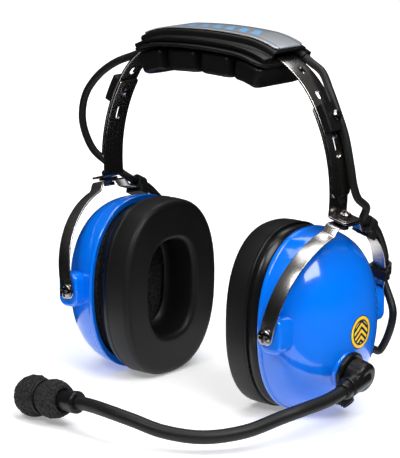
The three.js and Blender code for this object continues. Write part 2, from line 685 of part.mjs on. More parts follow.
// A moulded clip: one channel grips the stirrup's strap, the other holds the lead.
function leadClip(name, t, rear) {
  const hole = LEAD_RADIUS + FIT;
  const outer = hole + CLIP_WALL;
  const wide = STIRRUP_STRAP / 2 + GAP + CLIP_WALL;
  const low = -STIRRUP_THICKNESS / 2 - GAP - CLIP_WALL;
  const high = STIRRUP_THICKNESS / 2 + GAP + 0.8;
  const shape = new THREE.Shape();
  shape.moveTo(-wide, low);
  shape.lineTo(wide, low);
  shape.lineTo(wide, high);
  shape.lineTo(outer, high);
  shape.lineTo(outer, CLIP_RISE);
  shape.absarc(0, CLIP_RISE, outer, 0, Math.PI);
  shape.lineTo(-outer, high);
  shape.lineTo(-wide, high);
  const slot = new THREE.Path();
  const slotWide = STIRRUP_STRAP / 2 + GAP;
  const slotHigh = STIRRUP_THICKNESS / 2 + FIT;
  slot.moveTo(-slotWide, -slotHigh - 0.1);
  slot.lineTo(slotWide, -slotHigh - 0.1);
  slot.lineTo(slotWide, slotHigh);
  slot.lineTo(-slotWide, slotHigh);
  shape.holes.push(slot, new THREE.Path().absarc(0, CLIP_RISE, hole, 0, 2 * Math.PI));
  const station = stirrupStation(t, rear);
  const frame = new THREE.Matrix4().makeBasis(
    station.across.clone().multiplyScalar(rear),
    station.normal,
    station.tangent,
  ).setPosition(station.at);
  return part(name, inStirrupFrame(slab(shape, CLIP_LENGTH, 6).applyMatrix4(frame)), BLACK_RUBBER);
}

// Where a clip holds the lead, and the way the lead runs there, in the side's frame.
function clipHold(t, rear) {
  const station = stirrupStation(t, rear);
  const at = station.at.addScaledVector(station.normal, CLIP_RISE).applyMatrix4(STIRRUP_FRAME);
  const along = station.tangent.transformDirection(STIRRUP_FRAME);
  return { at, along };
}

const UPPER_CLIP = THREE.MathUtils.degToRad(62);
const LOWER_CLIP = THREE.MathUtils.degToRad(17);

// ---- cup --------------------------------------------------------------------

const SEAL_BACK = CUP_RIM - PLATE_THICKNESS - 2 * GAP;
const SEAL_FACE = SEAL_BACK - SEAL_DEPTH;
const PLATE_LOW = CUP_RIM - GAP - PLATE_THICKNESS;

// The two stirrup feet bear on rounded lugs, bored for the pivot screws.
function lugs() {
  const outer = STIRRUP_HALF_WIDTH - STIRRUP_THICKNESS / 2 - LUG_PROUD;
  const outline = roundedRectangle(LUG_WIDTH, LUG_HEIGHT, 5);
  return slab(outline, 2 * outer).rotateX(Math.PI / 2).translate(1.5, 0, CUP_DROP);
}

function cupShell(name, bosses, cutters) {
  let shell = solid(ovalDome(CUP_HALF_WIDTH, CUP_HALF_HEIGHT, CUP_DEPTH));
  const outline = [CUP_HALF_WIDTH + CUP_LIP, CUP_HALF_HEIGHT + CUP_LIP, CUP_SECTION_POWER];
  const lip = ovalRing([
    [CUP_LIP + 1, 0],
    [0, 0],
    [0, CUP_LIP_WIDTH - 0.6],
    [0.6, CUP_LIP_WIDTH],
    [CUP_LIP + 1, CUP_LIP_WIDTH],
  ], outline, outline);
  shell = shell.add(solid(lip));
  shell = shell.add(solid(lugs().translate(-CUP_RIM, 0, 0)));
  for (const boss of bosses) shell = shell.add(solid(boss.translate(-CUP_RIM, 0, CUP_DROP)));
  const hollow = ovalDome(CUP_HALF_WIDTH - CUP_WALL, CUP_HALF_HEIGHT - CUP_WALL, CUP_DEPTH - CUP_WALL, 20, 4);
  shell = shell.subtract(solid(hollow.translate(-0.001, 0, 0)));
  const reach = 2 * STIRRUP_HALF_WIDTH;
  const pivots = rod(PIVOT_SHANK_RADIUS + FIT, reach).translate(0, 0, -reach / 2).rotateX(Math.PI / 2);
  shell = shell.subtract(solid(pivots.translate(-CUP_RIM, 0, CUP_DROP)));
  for (const cutter of cutters) shell = shell.subtract(solid(cutter.translate(-CUP_RIM, 0, CUP_DROP)));
  const mesh = part(name, shell, BLUE);
  mesh.position.set(CUP_RIM, 0, -CUP_DROP);
  return mesh;
}

const OPENING = [OPENING_HALF_WIDTH, OPENING_HALF_HEIGHT, OPENING_POWER];

function sealPlate(name) {
  const outer = [SEAL_HALF_WIDTH - PLATE_INSET, SEAL_HALF_HEIGHT - PLATE_INSET, SEAL_POWER];
  const ring = ovalRing([
    [-3, 0],
    [0, 0],
    [0, PLATE_THICKNESS],
    [-3, PLATE_THICKNESS],
  ], outer, OPENING);
  const mesh = part(name, ring, BLACK_PLASTIC);
  mesh.position.set(PLATE_LOW, 0, -CUP_DROP);
  return mesh;
}

// A soft ring: flat face, rounded edges, a seam, and a narrower back.
function earSeal(name) {
  const r = SEAL_ROUND;
  const diagonal = r * (1 - Math.SQRT1_2);
  const outer = [SEAL_HALF_WIDTH, SEAL_HALF_HEIGHT, SEAL_POWER];
  const ring = ovalRing([
    [-r, 0],
    [r, 0],
    [diagonal, diagonal],
    [0, r],
    [0, SEAL_SEAM],
    [1.2, SEAL_SEAM + 0.8],
    [1, SEAL_SEAM + 3],
    [3.6, SEAL_DEPTH],
    [-2, SEAL_DEPTH],
    [-0.01, SEAL_DEPTH - 2],
    [-0.01, r],
    [-diagonal, diagonal],
  ], outer, OPENING);
  const mesh = part(name, ring, BLACK_VINYL);
  mesh.position.set(SEAL_FACE, 0, -CUP_DROP);
  return mesh;
}

const LINER_FACE = CUP_RIM + 1;

function linerFoam(name) {
  const inset = CUP_WALL + 3;
  const plate = ovalPlate(
    CUP_HALF_WIDTH - inset,
    CUP_HALF_HEIGHT - inset,
    CUP_SECTION_POWER,
    LINER_FACE,
    LINER_FACE + LINER_THICKNESS,
    32,
  );
  return part(name, plate.translate(0, 0, -CUP_DROP), BLACK_FOAM);
}

function speaker(name) {
  const profile = [
    [0, 0],
    [SPEAKER_RADIUS, 0],
    [SPEAKER_RADIUS, 2.5],
    [SPEAKER_RADIUS - 2, 3.5],
    [SPEAKER_RADIUS * 0.6, SPEAKER_DEPTH - 3],
    [SPEAKER_RADIUS * 0.5, SPEAKER_DEPTH],
    [0, SPEAKER_DEPTH],
  ];
  const low = LINER_FACE + LINER_THICKNESS + GAP;
  return part(name, turned(profile).rotateY(Math.PI / 2).translate(low, 0, -CUP_DROP), BLACK_PLASTIC);
}

function pivotScrew(name, front) {
  const bolt = screw(PIVOT_HEAD_RADIUS, PIVOT_HEAD_HEIGHT, PIVOT_SHANK_RADIUS, PIVOT_SHANK_LENGTH);
  const mesh = part(name, bolt, DARK_STEEL);
  mesh.rotation.x = front * (Math.PI / 2);
  mesh.position.set(0, -front * (STIRRUP_HALF_WIDTH + STIRRUP_THICKNESS / 2 + GAP), 0);
  return mesh;
}

// A flanged grommet where a lead goes through the shell; +Z is out of the cup.
function grommet(name, radius, length, frame) {
  const hole = LEAD_RADIUS + FIT;
  const profile = [
    [hole, -GLAND_INSIDE],
    [radius - GLAND_NECK, -GLAND_INSIDE],
    [radius - GLAND_NECK, 1],
    [radius + GLAND_FLANGE, 1],
    [radius + GLAND_FLANGE, 2.2],
    [radius, 2.8],
    [radius - 1.2, length],
    [hole, length],
    [hole, -GLAND_INSIDE],
  ];
  return part(name, turned(profile, 12).applyMatrix4(frame), BLACK_RUBBER);
}

// A cutter through the shell's wall for a gland's neck.
function grommetBore(radius, frame) {
  return rod(radius - GLAND_NECK + GAP, 20).translate(0, 0, -14).applyMatrix4(frame);
}

// A frame at `at` whose +Z is `direction`.
function aimed(at, direction) {
  const up = new THREE.Vector3(0, 0, 1);
  const turn = new THREE.Quaternion().setFromUnitVectors(up, direction.clone().normalize());
  return new THREE.Matrix4().compose(at, turn, new THREE.Vector3(1, 1, 1));
}

// How far out the shell's surface lies over a point of the y-z plane.
function shellOut(y, z) {
  const across = Math.abs(y / CUP_HALF_WIDTH) ** CUP_SECTION_POWER;
  const up = Math.abs((z + CUP_DROP) / CUP_HALF_HEIGHT) ** CUP_SECTION_POWER;
  const scale = (across + up) ** (1 / CUP_SECTION_POWER);
  return CUP_RIM + CUP_DEPTH * (1 - scale ** CUP_NOSE_POWER) ** (1 / CUP_SIDE_POWER);
}

// The point and normal of the shell's outside at an angle in the y-z plane.
function shellPoint(angle, out) {
  const u = (out - CUP_RIM) / CUP_DEPTH;
  const scale = (1 - u ** CUP_SIDE_POWER) ** (1 / CUP_NOSE_POWER);
  const p = ovalPoint(CUP_HALF_WIDTH, CUP_HALF_HEIGHT, CUP_SECTION_POWER, angle);
  const steepness = CUP_NOSE_POWER * scale ** (CUP_NOSE_POWER - 1) / (p.y * p.ny + p.z * p.nz);
  const normal = new THREE.Vector3(
    CUP_SIDE_POWER * u ** (CUP_SIDE_POWER - 1) / CUP_DEPTH,
    steepness * p.ny,
    steepness * p.nz,
  ).normalize();
  return { at: new THREE.Vector3(out, scale * p.y, scale * p.z - CUP_DROP), normal };
}

const LEAD_GLAND_RADIUS = 4.2;
const LEAD_GLAND_LENGTH = 7;
const GLAND_INSIDE = 3; // length of a gland within the shell
const GLAND_FLANGE = 1; // how far its flange stands out past its body
const GLAND_NECK = 0.8; // how much slimmer it is where the shell grips it
const CUP_OUT = new THREE.Vector3(PIVOT_HALF_SPAN, 0, 0);
const PAST_PIVOT = [13, 50, -6]; // the lead passes beside the rear lug
const LEAD_GLAND_ANGLE = Math.atan2(-0.42, 0.9); // round the shell, on its rear
const LEAD_GLAND_OUT = 2; // from the pivot axis
const MAIN_GLAND_RADIUS = 4.8;
const MAIN_GLAND_LENGTH = 6;
const MAIN_GLAND_ANGLE = -Math.PI / 2 + 0.1;
const MAIN_GLAND_OUT = 12; // from the pivot axis

function leadGlandFrame(rear) {
  const angle = rear > 0 ? LEAD_GLAND_ANGLE : -Math.PI - LEAD_GLAND_ANGLE;
  const spot = shellPoint(angle, LEAD_GLAND_OUT);
  return aimed(spot.at, spot.normal);
}

// ---- assembly of one side ---------------------------------------------------

// The left lead lies against the band: how far up from the band's end, how far behind
// the strap's middle, how far out from it.
const LEAD_ON_BAND = [[68, 9.4, 3.9], [58, 6.6, 3.8], [46, 5.4, 3.5], [32, 5.4, 3.5], [16, 5.4, 3.5]];

function onBand([up, behind, out]) {
  const station = bandStation(sideStation(up));
  return [station.x + out * station.nx, behind, station.z + out * station.nz];
}

// Points that the lead runs through between the pad and the upper clip, in the
// headset's frame with the pivots at height 0. The band carries the first set and
// the arm the second.
const UPPER_LEAD = {
  left: [...LEAD_ON_BAND.map(onBand), [87.8, 6.2, 76]],
  right: [[-72, 8, 131.5], [-85, 5, 126], [-98, 4, 117], [-108, 4, 105], [-112, 5, 92], [-111, 6, 82]],
};
const MIDDLE_LEAD = {
  left: [[88.6, 9.5, 68], [90, 15.5, 62.5]],
  right: [[-106, 8, 71], [-99, 11, 64.5]],
};

function vectors(points) {
  return points.map((p) => new THREE.Vector3(...p));
}

// Part of the curve through the points, from one point's number to another's.
function stretch(points, from, to) {
  const whole = smoothLine(points);
  const span = points.length - 1;
  const clear = to < span ? GAP / points[to].distanceTo(points[to - 1]) : 0;
  const piece = new THREE.Curve();
  piece.getPoint = (t) => whole.getPoint((from + (to - clear - from) * t) / span);
  return piece;
}

// Where the lead leaves the pad, then a little further on.
function leadExits(sign) {
  return [LEAD_EXIT + 2 * GAP, LEAD_EXIT + 5].map((s) => {
    const station = bandStation(sign * s);
    return new THREE.Vector3(
      station.x + TOP_LEAD_HEIGHT * station.nx,
      TOP_LEAD_OFFSET,
      station.z + TOP_LEAD_HEIGHT * station.nz,
    );
  });
}

function leadStretches(side, sign, rear) {
  const turn = (v) => new THREE.Vector3(sign * v.x, sign * v.y, v.z);
  const upper = [...leadExits(sign), ...vectors(UPPER_LEAD[side])];
  const top = clipHold(UPPER_CLIP, rear);
  const mid = clipHold((UPPER_CLIP + LOWER_CLIP) / 2, rear);
  const low = clipHold(LOWER_CLIP, rear);
  const through = (hold) => [1.3, 0.65, 0, -0.65, -1.3].map((part) => (
    turn(hold.at.clone().addScaledVector(hold.along, part * CLIP_LENGTH))
  ));
  const gland = leadGlandFrame(rear);
  const inGland = (z) => turn(new THREE.Vector3(0, 0, z).applyMatrix4(gland).add(CUP_OUT));
  const before = [...upper, ...vectors(MIDDLE_LEAD[side])];
  const points = [
    ...before,
    ...through(top),
    turn(mid.at),
    ...through(low),
    turn(CUP_OUT.clone().add(new THREE.Vector3(...PAST_PIVOT)).multiply(new THREE.Vector3(1, rear, 1))),
    ...[5, 1, -4, -2 - LEAD_GLAND_LENGTH].map((z) => inGland(LEAD_GLAND_LENGTH + z)),
  ];
  const splits = [0, upper.length - 1, before.length + 2, points.length - 1];
  const steps = [10, 8, 20];
  return ['upper', 'middle', 'lower'].map((place, i) => {
    const curve = stretch(points, splits[i], splits[i + 1]);
    return part(`${side}_lead_${place}`, tube(curve, LEAD_RADIUS, LEAD_SIDES, steps[i]), BLACK_RUBBER);
  });
}

function cupGroup(side, rear, bosses, cutters) {
  const cup = new THREE.Group();
  cup.position.x = PIVOT_HALF_SPAN;
  const gland = leadGlandFrame(rear);
  const bore = grommetBore(LEAD_GLAND_RADIUS, gland);
  cup.add(
    cupShell(`${side}_cup_shell`, bosses, [bore, ...cutters]),
    sealPlate(`${side}_seal_plate`),
    earSeal(`${side}_ear_seal`),
    linerFoam(`${side}_liner_foam`),
    speaker(`${side}_speaker`),
    pivotScrew(`${side}_pivot_screw_front`, rear),
    pivotScrew(`${side}_pivot_screw_rear`, -rear),
    grommet(`${side}_lead_gland`, LEAD_GLAND_RADIUS, LEAD_GLAND_LENGTH, gland),
  );
  return cup;
}

function sideGroup(side, sign, bosses, cutters) {
  const rear = sign;
  const group = new THREE.Group();
  if (sign < 0) group.rotation.z = Math.PI;
  group.add(
    sliderArm(`${side}_slider_arm`),
    clampBlock(`${side}_clamp_block`, rear),
    clampScrew(`${side}_clamp_screw`),
    stirrup(`${side}_stirrup`),
    swivelScrew(`${side}_swivel_screw`),
    hexNut(`${side}_swivel_nut`, SWIVEL_SHANK_RADIUS + FIT),
    swivelWasher(`${side}_swivel_washer`),
    leadClip(`${side}_lead_clip_upper`, UPPER_CLIP, rear),
    leadClip(`${side}_lead_clip_lower`, LOWER_CLIP, rear),
    cupGroup(side, rear, bosses, cutters),
  );
  return group;
}

// ---- boom -------------------------------------------------------------------

// The swivel's frame in the headset's frame: +Z along its axis, away from the cup.
const SWIVEL_AXIS = new THREE.Vector3(Math.cos(SWIVEL_TILT), 0, -Math.sin(SWIVEL_TILT));
const SWIVEL_POINT = new THREE.Vector3(
  PIVOT_HALF_SPAN + shellOut(-SWIVEL_AHEAD, -SWIVEL_BELOW) + SWIVEL_LIFT,
  -SWIVEL_AHEAD,
  -SWIVEL_BELOW,
);
const SWIVEL_FRAME = aimed(SWIVEL_POINT, SWIVEL_AXIS);
const STUD_RADIUS = 2.6;
const STUD_LENGTH = 6;

// The gooseneck's middle line from inside the elbow, measured from the swivel.
const BOOM_LINE = vectors([
  [8.4, -3.9, -3.5],
  [7.9, -11.4, -5.6],
  [7.45, -18.6, -7.6],
  [6.4, -28.4, -9.4],
  [2.4, -46.9, -11.4],
  [-1.6, -56.4, -13.4],
  [-9.6, -77.9, -17.6],
  [-23.6, -95.4, -19.3],
  [-41.6, -106.4, -17.3],
  [-57.6, -110.9, -13.8],
  [-72.6, -112.4, -12],
  [-85.6, -111, -12],
  [-93.6, -109.75, -12.55],
  [-98.6, -109.3, -13],
]).map((point) => point.add(SWIVEL_POINT));
const BOOM_END = BOOM_LINE[BOOM_LINE.length - 1];
const MIC_DIRECTION = new THREE.Vector3(-0.985, 0.09, -0.12).normalize();
const BARREL_FROM = new THREE.Vector3(8.7, 1.6, -2).add(SWIVEL_POINT);
const BARREL_BLIND = 5; // solid length before the bore

// A round plate fixed to the shell; its stud goes through the shell's wall.
function boomDisc() {
  const profile = [
    [0, -STUD_LENGTH],
    [STUD_RADIUS, -STUD_LENGTH],
    [STUD_RADIUS, 0],
    [DISC_RADIUS, 0],
    [DISC_RADIUS, DISC_THICKNESS - 1],
    [DISC_RADIUS - 1, DISC_THICKNESS],
    [0, DISC_THICKNESS],
  ];
  return part('boom_swivel_disc', turned(profile, 22).applyMatrix4(SWIVEL_FRAME), BLACK_PLASTIC);
}

// The elbow: a round puck on the disc, a barrel along the boom and two grip ribs.
function boomHousing() {
  const low = DISC_THICKNESS + GAP;
  const puck = turned([
    [0, low],
    [HOUSING_RADIUS, low],
    [HOUSING_RADIUS, low + HOUSING_DEPTH - 3],
    [HOUSING_RADIUS - 3, low + HOUSING_DEPTH],
    [0, low + HOUSING_DEPTH],
  ], 22).applyMatrix4(SWIVEL_FRAME);
  const along = BOOM_LINE[1].clone().sub(BARREL_FROM).normalize();
  const length = BOOM_LINE[1].distanceTo(BARREL_FROM);
  const barrelFrame = aimed(BARREL_FROM, along);
  let body = solid(puck).add(solid(rod(BARREL_RADIUS, length, 18).applyMatrix4(barrelFrame)));
  const bore = rod(BOOM_RADIUS + FIT, length, 12).translate(0, 0, BARREL_BLIND).applyMatrix4(barrelFrame);
  body = body.subtract(solid(bore));
  return part('boom_elbow', body, BLACK_PLASTIC);
}

function boomCollar() {
  const along = BOOM_LINE[1].clone().sub(BARREL_FROM).normalize();
  const bore = BOOM_RADIUS + FIT;
  const ring = turned([
    [bore, 0],
    [COLLAR_RADIUS, 0],
    [COLLAR_RADIUS, COLLAR_LENGTH - 1],
    [COLLAR_RADIUS - 0.8, COLLAR_LENGTH],
    [bore, COLLAR_LENGTH],
    [bore, 0],
  ]);
  const start = BOOM_LINE[1].clone().addScaledVector(along, GAP);
  return part('boom_collar', ring.applyMatrix4(aimed(start, along)), BLACK_PLASTIC);
}

function boomTube() {
  return part('boom_gooseneck', tube(smoothLine(BOOM_LINE), BOOM_RADIUS, BOOM_SIDES, 28), BLACK_RUBBER);
}

const MIC_FRAME = aimed(BOOM_END, MIC_DIRECTION);

function micHolder() {
  const sleeve = turned([
    [0, GAP],
    [HOLDER_RADIUS, GAP],
    [HOLDER_RADIUS + 0.6, 1.2],
    [HOLDER_RADIUS + 0.6, 4],
    [HOLDER_RADIUS, 5],
    [HOLDER_RADIUS, HOLDER_LENGTH],
    [0, HOLDER_LENGTH],
  ]);
  return part('mic_holder', sleeve.applyMatrix4(MIC_FRAME), BLACK_PLASTIC);
}

function micCapsule() {
  const start = HOLDER_LENGTH + GAP;
  const can = turned([
    [0, start],
    [CAPSULE_RADIUS, start],
    [CAPSULE_RADIUS, start + CAPSULE_LENGTH - 1],
    [CAPSULE_RADIUS - 1, start + CAPSULE_LENGTH],
    [0, start + CAPSULE_LENGTH],
  ]);
  return part('mic_capsule', can.applyMatrix4(MIC_FRAME), DARK_STEEL);
}

const MUFF_START = 12;
const MUFF_NECK_MIDDLE = MUFF_START + 8.5;
const MUFF_WAIST = MUFF_START + 16.5;
const MUFF_BALL_MIDDLE = MUFF_WAIST + Math.sqrt(MUFF_BALL_RADIUS ** 2 - MUFF_WAIST_RADIUS ** 2);
const MUFF_NECK_REACH = 6.6;
const MUFF_NECK_BEND = 0.62;
const MUFF_BORE_END = HOLDER_LENGTH + CAPSULE_LENGTH + 3;

// A foam sock with two lobes and a waist, open where the holder goes in.
function micMuff() {
  const profile = [[MUFF_BORE_RADIUS, MUFF_START + 0.5], [MUFF_NECK_RADIUS - 2.5, MUFF_START + 0.5]];
  const neckSteps = 4;
  for (let i = 0; i <= neckSteps; i++) {
    const t = -0.9 + (1.9 * i) / neckSteps;
    profile.push([
      MUFF_NECK_RADIUS * Math.cos(t * MUFF_NECK_BEND),
      MUFF_NECK_MIDDLE + MUFF_NECK_REACH * t,
    ]);
  }
  profile.push([MUFF_WAIST_RADIUS, MUFF_WAIST]);
  const first = -Math.acos(MUFF_WAIST_RADIUS / MUFF_BALL_RADIUS);
  const ballSteps = 7;
  for (let i = 1; i <= ballSteps; i++) {
    const t = first + ((Math.PI / 2 - first) * i) / ballSteps;
    const radius = i === ballSteps ? 0 : MUFF_BALL_RADIUS * Math.cos(t);
    profile.push([radius, MUFF_BALL_MIDDLE + MUFF_BALL_RADIUS * Math.sin(t)]);
  }
  profile.push([0, MUFF_BORE_END], [MUFF_BORE_RADIUS, MUFF_BORE_END], [MUFF_BORE_RADIUS, MUFF_START + 0.5]);
  return part('mic_muff', turned(profile, 16).applyMatrix4(MIC_FRAME), BLACK_FOAM);
}

// A rubber ring that sits in the muff's waist.
function muffRing() {
  const inner = MUFF_WAIST_RADIUS + FIT;
  const half = MUFF_RING_THICKNESS / 2;
  const profile = [];
  const sides = 6;
  for (let i = 0; i <= sides; i++) {
    const t = (2 * Math.PI * (i % sides)) / sides;
    profile.push([inner + half + half * Math.cos(t), MUFF_WAIST + half * Math.sin(t)]);
  }
  return part('muff_ring', turned(profile, 16).applyMatrix4(MIC_FRAME), BLACK_RUBBER);
}

const BOARD = { thick: 1.6, long: 22, tall: 16, out: 12, up: 8 }; // placed from the pivots

function micBoard() {
  const board = new THREE.BoxGeometry(BOARD.thick, BOARD.long, BOARD.tall);
  return part('mic_board', board.translate(PIVOT_HALF_SPAN + BOARD.out, 0, BOARD.up), GREEN_BOARD);
}

// Where the lead to the aircraft's sockets enters the left cup, low and behind the boom.
function mainGlandFrame() {
  const spot = shellPoint(MAIN_GLAND_ANGLE, MAIN_GLAND_OUT);
  return aimed(spot.at, spot.normal);
}

function mainGland() {
  const mesh = grommet('main_lead_gland', MAIN_GLAND_RADIUS, MAIN_GLAND_LENGTH, mainGlandFrame());
  mesh.position.x = PIVOT_HALF_SPAN;
  return mesh;
}

function boomGroup() {
  const group = new THREE.Group();
  group.add(
    boomDisc(),
    boomHousing(),
    boomCollar(),
    boomTube(),
    micHolder(),
    micCapsule(),
    micMuff(),
    muffRing(),
    micBoard(),
    mainGland(),
  );
  return group;
}

// ---- headset ----------------------------------------------------------------

const headset = new THREE.Group();
headset.position.set(SIDE_SHIFT, FORE_AFT_SHIFT, STAND_HEIGHT);

const pad = new THREE.Group();
pad.add(headbandSpring(), padCover(), padBase(), labelPlate(), leadTop());
for (let number = 1; number <= CELL_COUNT; number++) pad.add(padCell(number));
headset.add(pad);

function aboutSwivel(geometry) {
  return geometry.applyMatrix4(SWIVEL_FRAME).translate(-PIVOT_HALF_SPAN, 0, 0);
}

const boomBoss = aboutSwivel(rod(BOSS_RADIUS, 10, 22).translate(0, 0, -10 - GAP));
const studBore = aboutSwivel(rod(STUD_RADIUS + GAP, 16).translate(0, 0, -12));
const mainBore = grommetBore(MAIN_GLAND_RADIUS, mainGlandFrame());
headset.add(
  sideGroup('left', 1, [boomBoss], [studBore, mainBore]),
  sideGroup('right', -1, [], []),
);
for (const [side, sign] of [['left', 1], ['right', -1]]) {
  headset.add(...leadStretches(side, sign, sign));
}
headset.add(boomGroup());

export default headset;
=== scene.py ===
# %% [markdown]
# # A pilot's headset
# The real object is two moulded ear cups held in sprung steel stirrups, a spring-steel
# headband with a padded top, a lead from cup to cup and a gooseneck boom with a foam
# muff. The mechanical model holds every size and axis. This lesson lays a fine surface
# over each of its pieces and gives it a finish.

# %% load the mechanical frame
import math

import bmesh
import bpy
import numpy as np
from mathutils import Matrix, Vector


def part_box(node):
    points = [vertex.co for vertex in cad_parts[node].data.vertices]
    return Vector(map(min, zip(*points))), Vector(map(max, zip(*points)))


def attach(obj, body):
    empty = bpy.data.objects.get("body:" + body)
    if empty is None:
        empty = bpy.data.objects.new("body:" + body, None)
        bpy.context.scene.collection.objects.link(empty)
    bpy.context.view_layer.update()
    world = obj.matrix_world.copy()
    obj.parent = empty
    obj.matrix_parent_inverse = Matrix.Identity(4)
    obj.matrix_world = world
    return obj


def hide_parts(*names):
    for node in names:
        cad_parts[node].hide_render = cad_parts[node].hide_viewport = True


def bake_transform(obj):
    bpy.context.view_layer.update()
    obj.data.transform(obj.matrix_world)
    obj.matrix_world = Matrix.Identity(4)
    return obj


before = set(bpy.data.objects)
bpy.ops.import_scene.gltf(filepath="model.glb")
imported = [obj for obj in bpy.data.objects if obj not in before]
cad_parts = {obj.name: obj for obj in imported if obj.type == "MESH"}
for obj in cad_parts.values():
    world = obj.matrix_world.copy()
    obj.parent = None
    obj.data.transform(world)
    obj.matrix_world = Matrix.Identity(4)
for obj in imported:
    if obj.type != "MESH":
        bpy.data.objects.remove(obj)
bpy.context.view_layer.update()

print("pieces in the frame:", len(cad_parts))

# %% [markdown]
# Everything is worked out in millimetres about one point, the middle between the two
# cups' pivots, because every formula below is simplest there. The ear seals say where
# that point is: it is half way between them, and a little above their middles.

# %% the working origin
MM = 0.001
GAP = 0.35  # air between pieces that face each other
FIT = 0.4  # air over the cells, under the label and round the muff's waist
PLAY = 0.15  # air round the lead in a gland and the gooseneck in its collar
CUP_DROP = 1.5  # the cups' middles below their pivots


def box_mm(node):
    low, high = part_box(node)
    return np.array(low) / MM, np.array(high) / MM


left_low, left_high = box_mm("left_ear_seal")
_, right_high = box_mm("right_ear_seal")
PIVOTS = (left_low + right_high) / 2
PIVOTS[1:] = ((left_low + left_high) / 2)[1:]
PIVOTS[2] += CUP_DROP
print("pivots' middle, mm:", PIVOTS.round(2))


def placed(points):
    """Millimetres about the pivots' middle, as metres in the frame."""
    return (np.asarray(points, float) + PIVOTS) * MM


def linked(name, data):
    """A new object in the scene."""
    piece = bpy.data.objects.new(name, data)
    bpy.context.scene.collection.objects.link(piece)
    return piece


# %% [markdown]
# ## Camera
# The camera looks slightly down at the front left of the headset with a long lens, so
# the two cups keep nearly the same size. It is aimed by three angles and a distance.

# %% camera
CAMERA_AZIMUTH = math.radians(39.34)
CAMERA_ELEVATION = math.radians(14.82)
CAMERA_ROLL = math.radians(0.51)
CAMERA_DISTANCE = 1173.3
CAMERA_LENS = 160.56
AIM_RIGHT = -0.0100  # how far the view's middle is from the pivots, as a slope
AIM_UP = 0.0325


def add_camera():
    sin_a, cos_a = math.sin(CAMERA_AZIMUTH), math.cos(CAMERA_AZIMUTH)
    sin_e, cos_e = math.sin(CAMERA_ELEVATION), math.cos(CAMERA_ELEVATION)
    back = Vector((sin_a * cos_e, -cos_a * cos_e, sin_e))
    right = Vector((cos_a, sin_a, 0))
    up = back.cross(right)
    data = bpy.data.cameras.new("camera")
    data.lens = CAMERA_LENS
    data.sensor_width = 36
    data.clip_start, data.clip_end = 0.05, 50
    camera = linked("camera", data)
    camera.location = Vector(placed((0, 0, 0))) + back * CAMERA_DISTANCE * MM
    look = (-back + right * AIM_RIGHT + up * AIM_UP).normalized()
    side = look.cross(up).normalized()
    top = side.cross(look)
    turn = np.array([side, top, -look]).T
    c, s = math.cos(CAMERA_ROLL), math.sin(CAMERA_ROLL)
    turn = turn @ np.array([[c, -s, 0], [s, c, 0], [0, 0, 1]])
    camera.rotation_mode = "QUATERNION"
    camera.rotation_quaternion = Matrix(turn.tolist()).to_quaternion()
    bpy.context.scene.camera = camera
    return camera


camera = add_camera()
print("camera at", [round(v, 3) for v in camera.location])

# %% [markdown]
# ## Shader trees
# A finish is a small tree of nodes. Written as Python it stays readable: one class wraps
# a socket so that `+`, `*` and the rest add Math nodes, and one method adds any other
# node. What is the same all over a surface is set on the shader itself.

# %% sockets that can be added and multiplied
class Shade:
    """A socket of a shader tree; arithmetic on it adds Math nodes."""

    def __init__(self, tree, socket):
        self.tree = tree
        self.socket = socket

    def math(self, operation, *values):
        return self.tree.add("ShaderNodeMath", {"operation": operation}, dict(enumerate(values)))

    def __add__(self, other):
        return self.math("ADD", self, other)

    def __sub__(self, other):
        return self.math("SUBTRACT", self, other)

    def __rsub__(self, other):
        return self.math("SUBTRACT", other, self)

    def __mul__(self, other):
        return self.math("MULTIPLY", self, other)

    def __truediv__(self, other):
        return self.math("DIVIDE", self, other)

    def __lt__(self, other):
        return self.math("LESS_THAN", self, other)

    def __gt__(self, other):
        return self.math("GREATER_THAN", self, other)

    def __abs__(self):
        return self.math("ABSOLUTE", self)

    __radd__ = __add__
    __rmul__ = __mul__


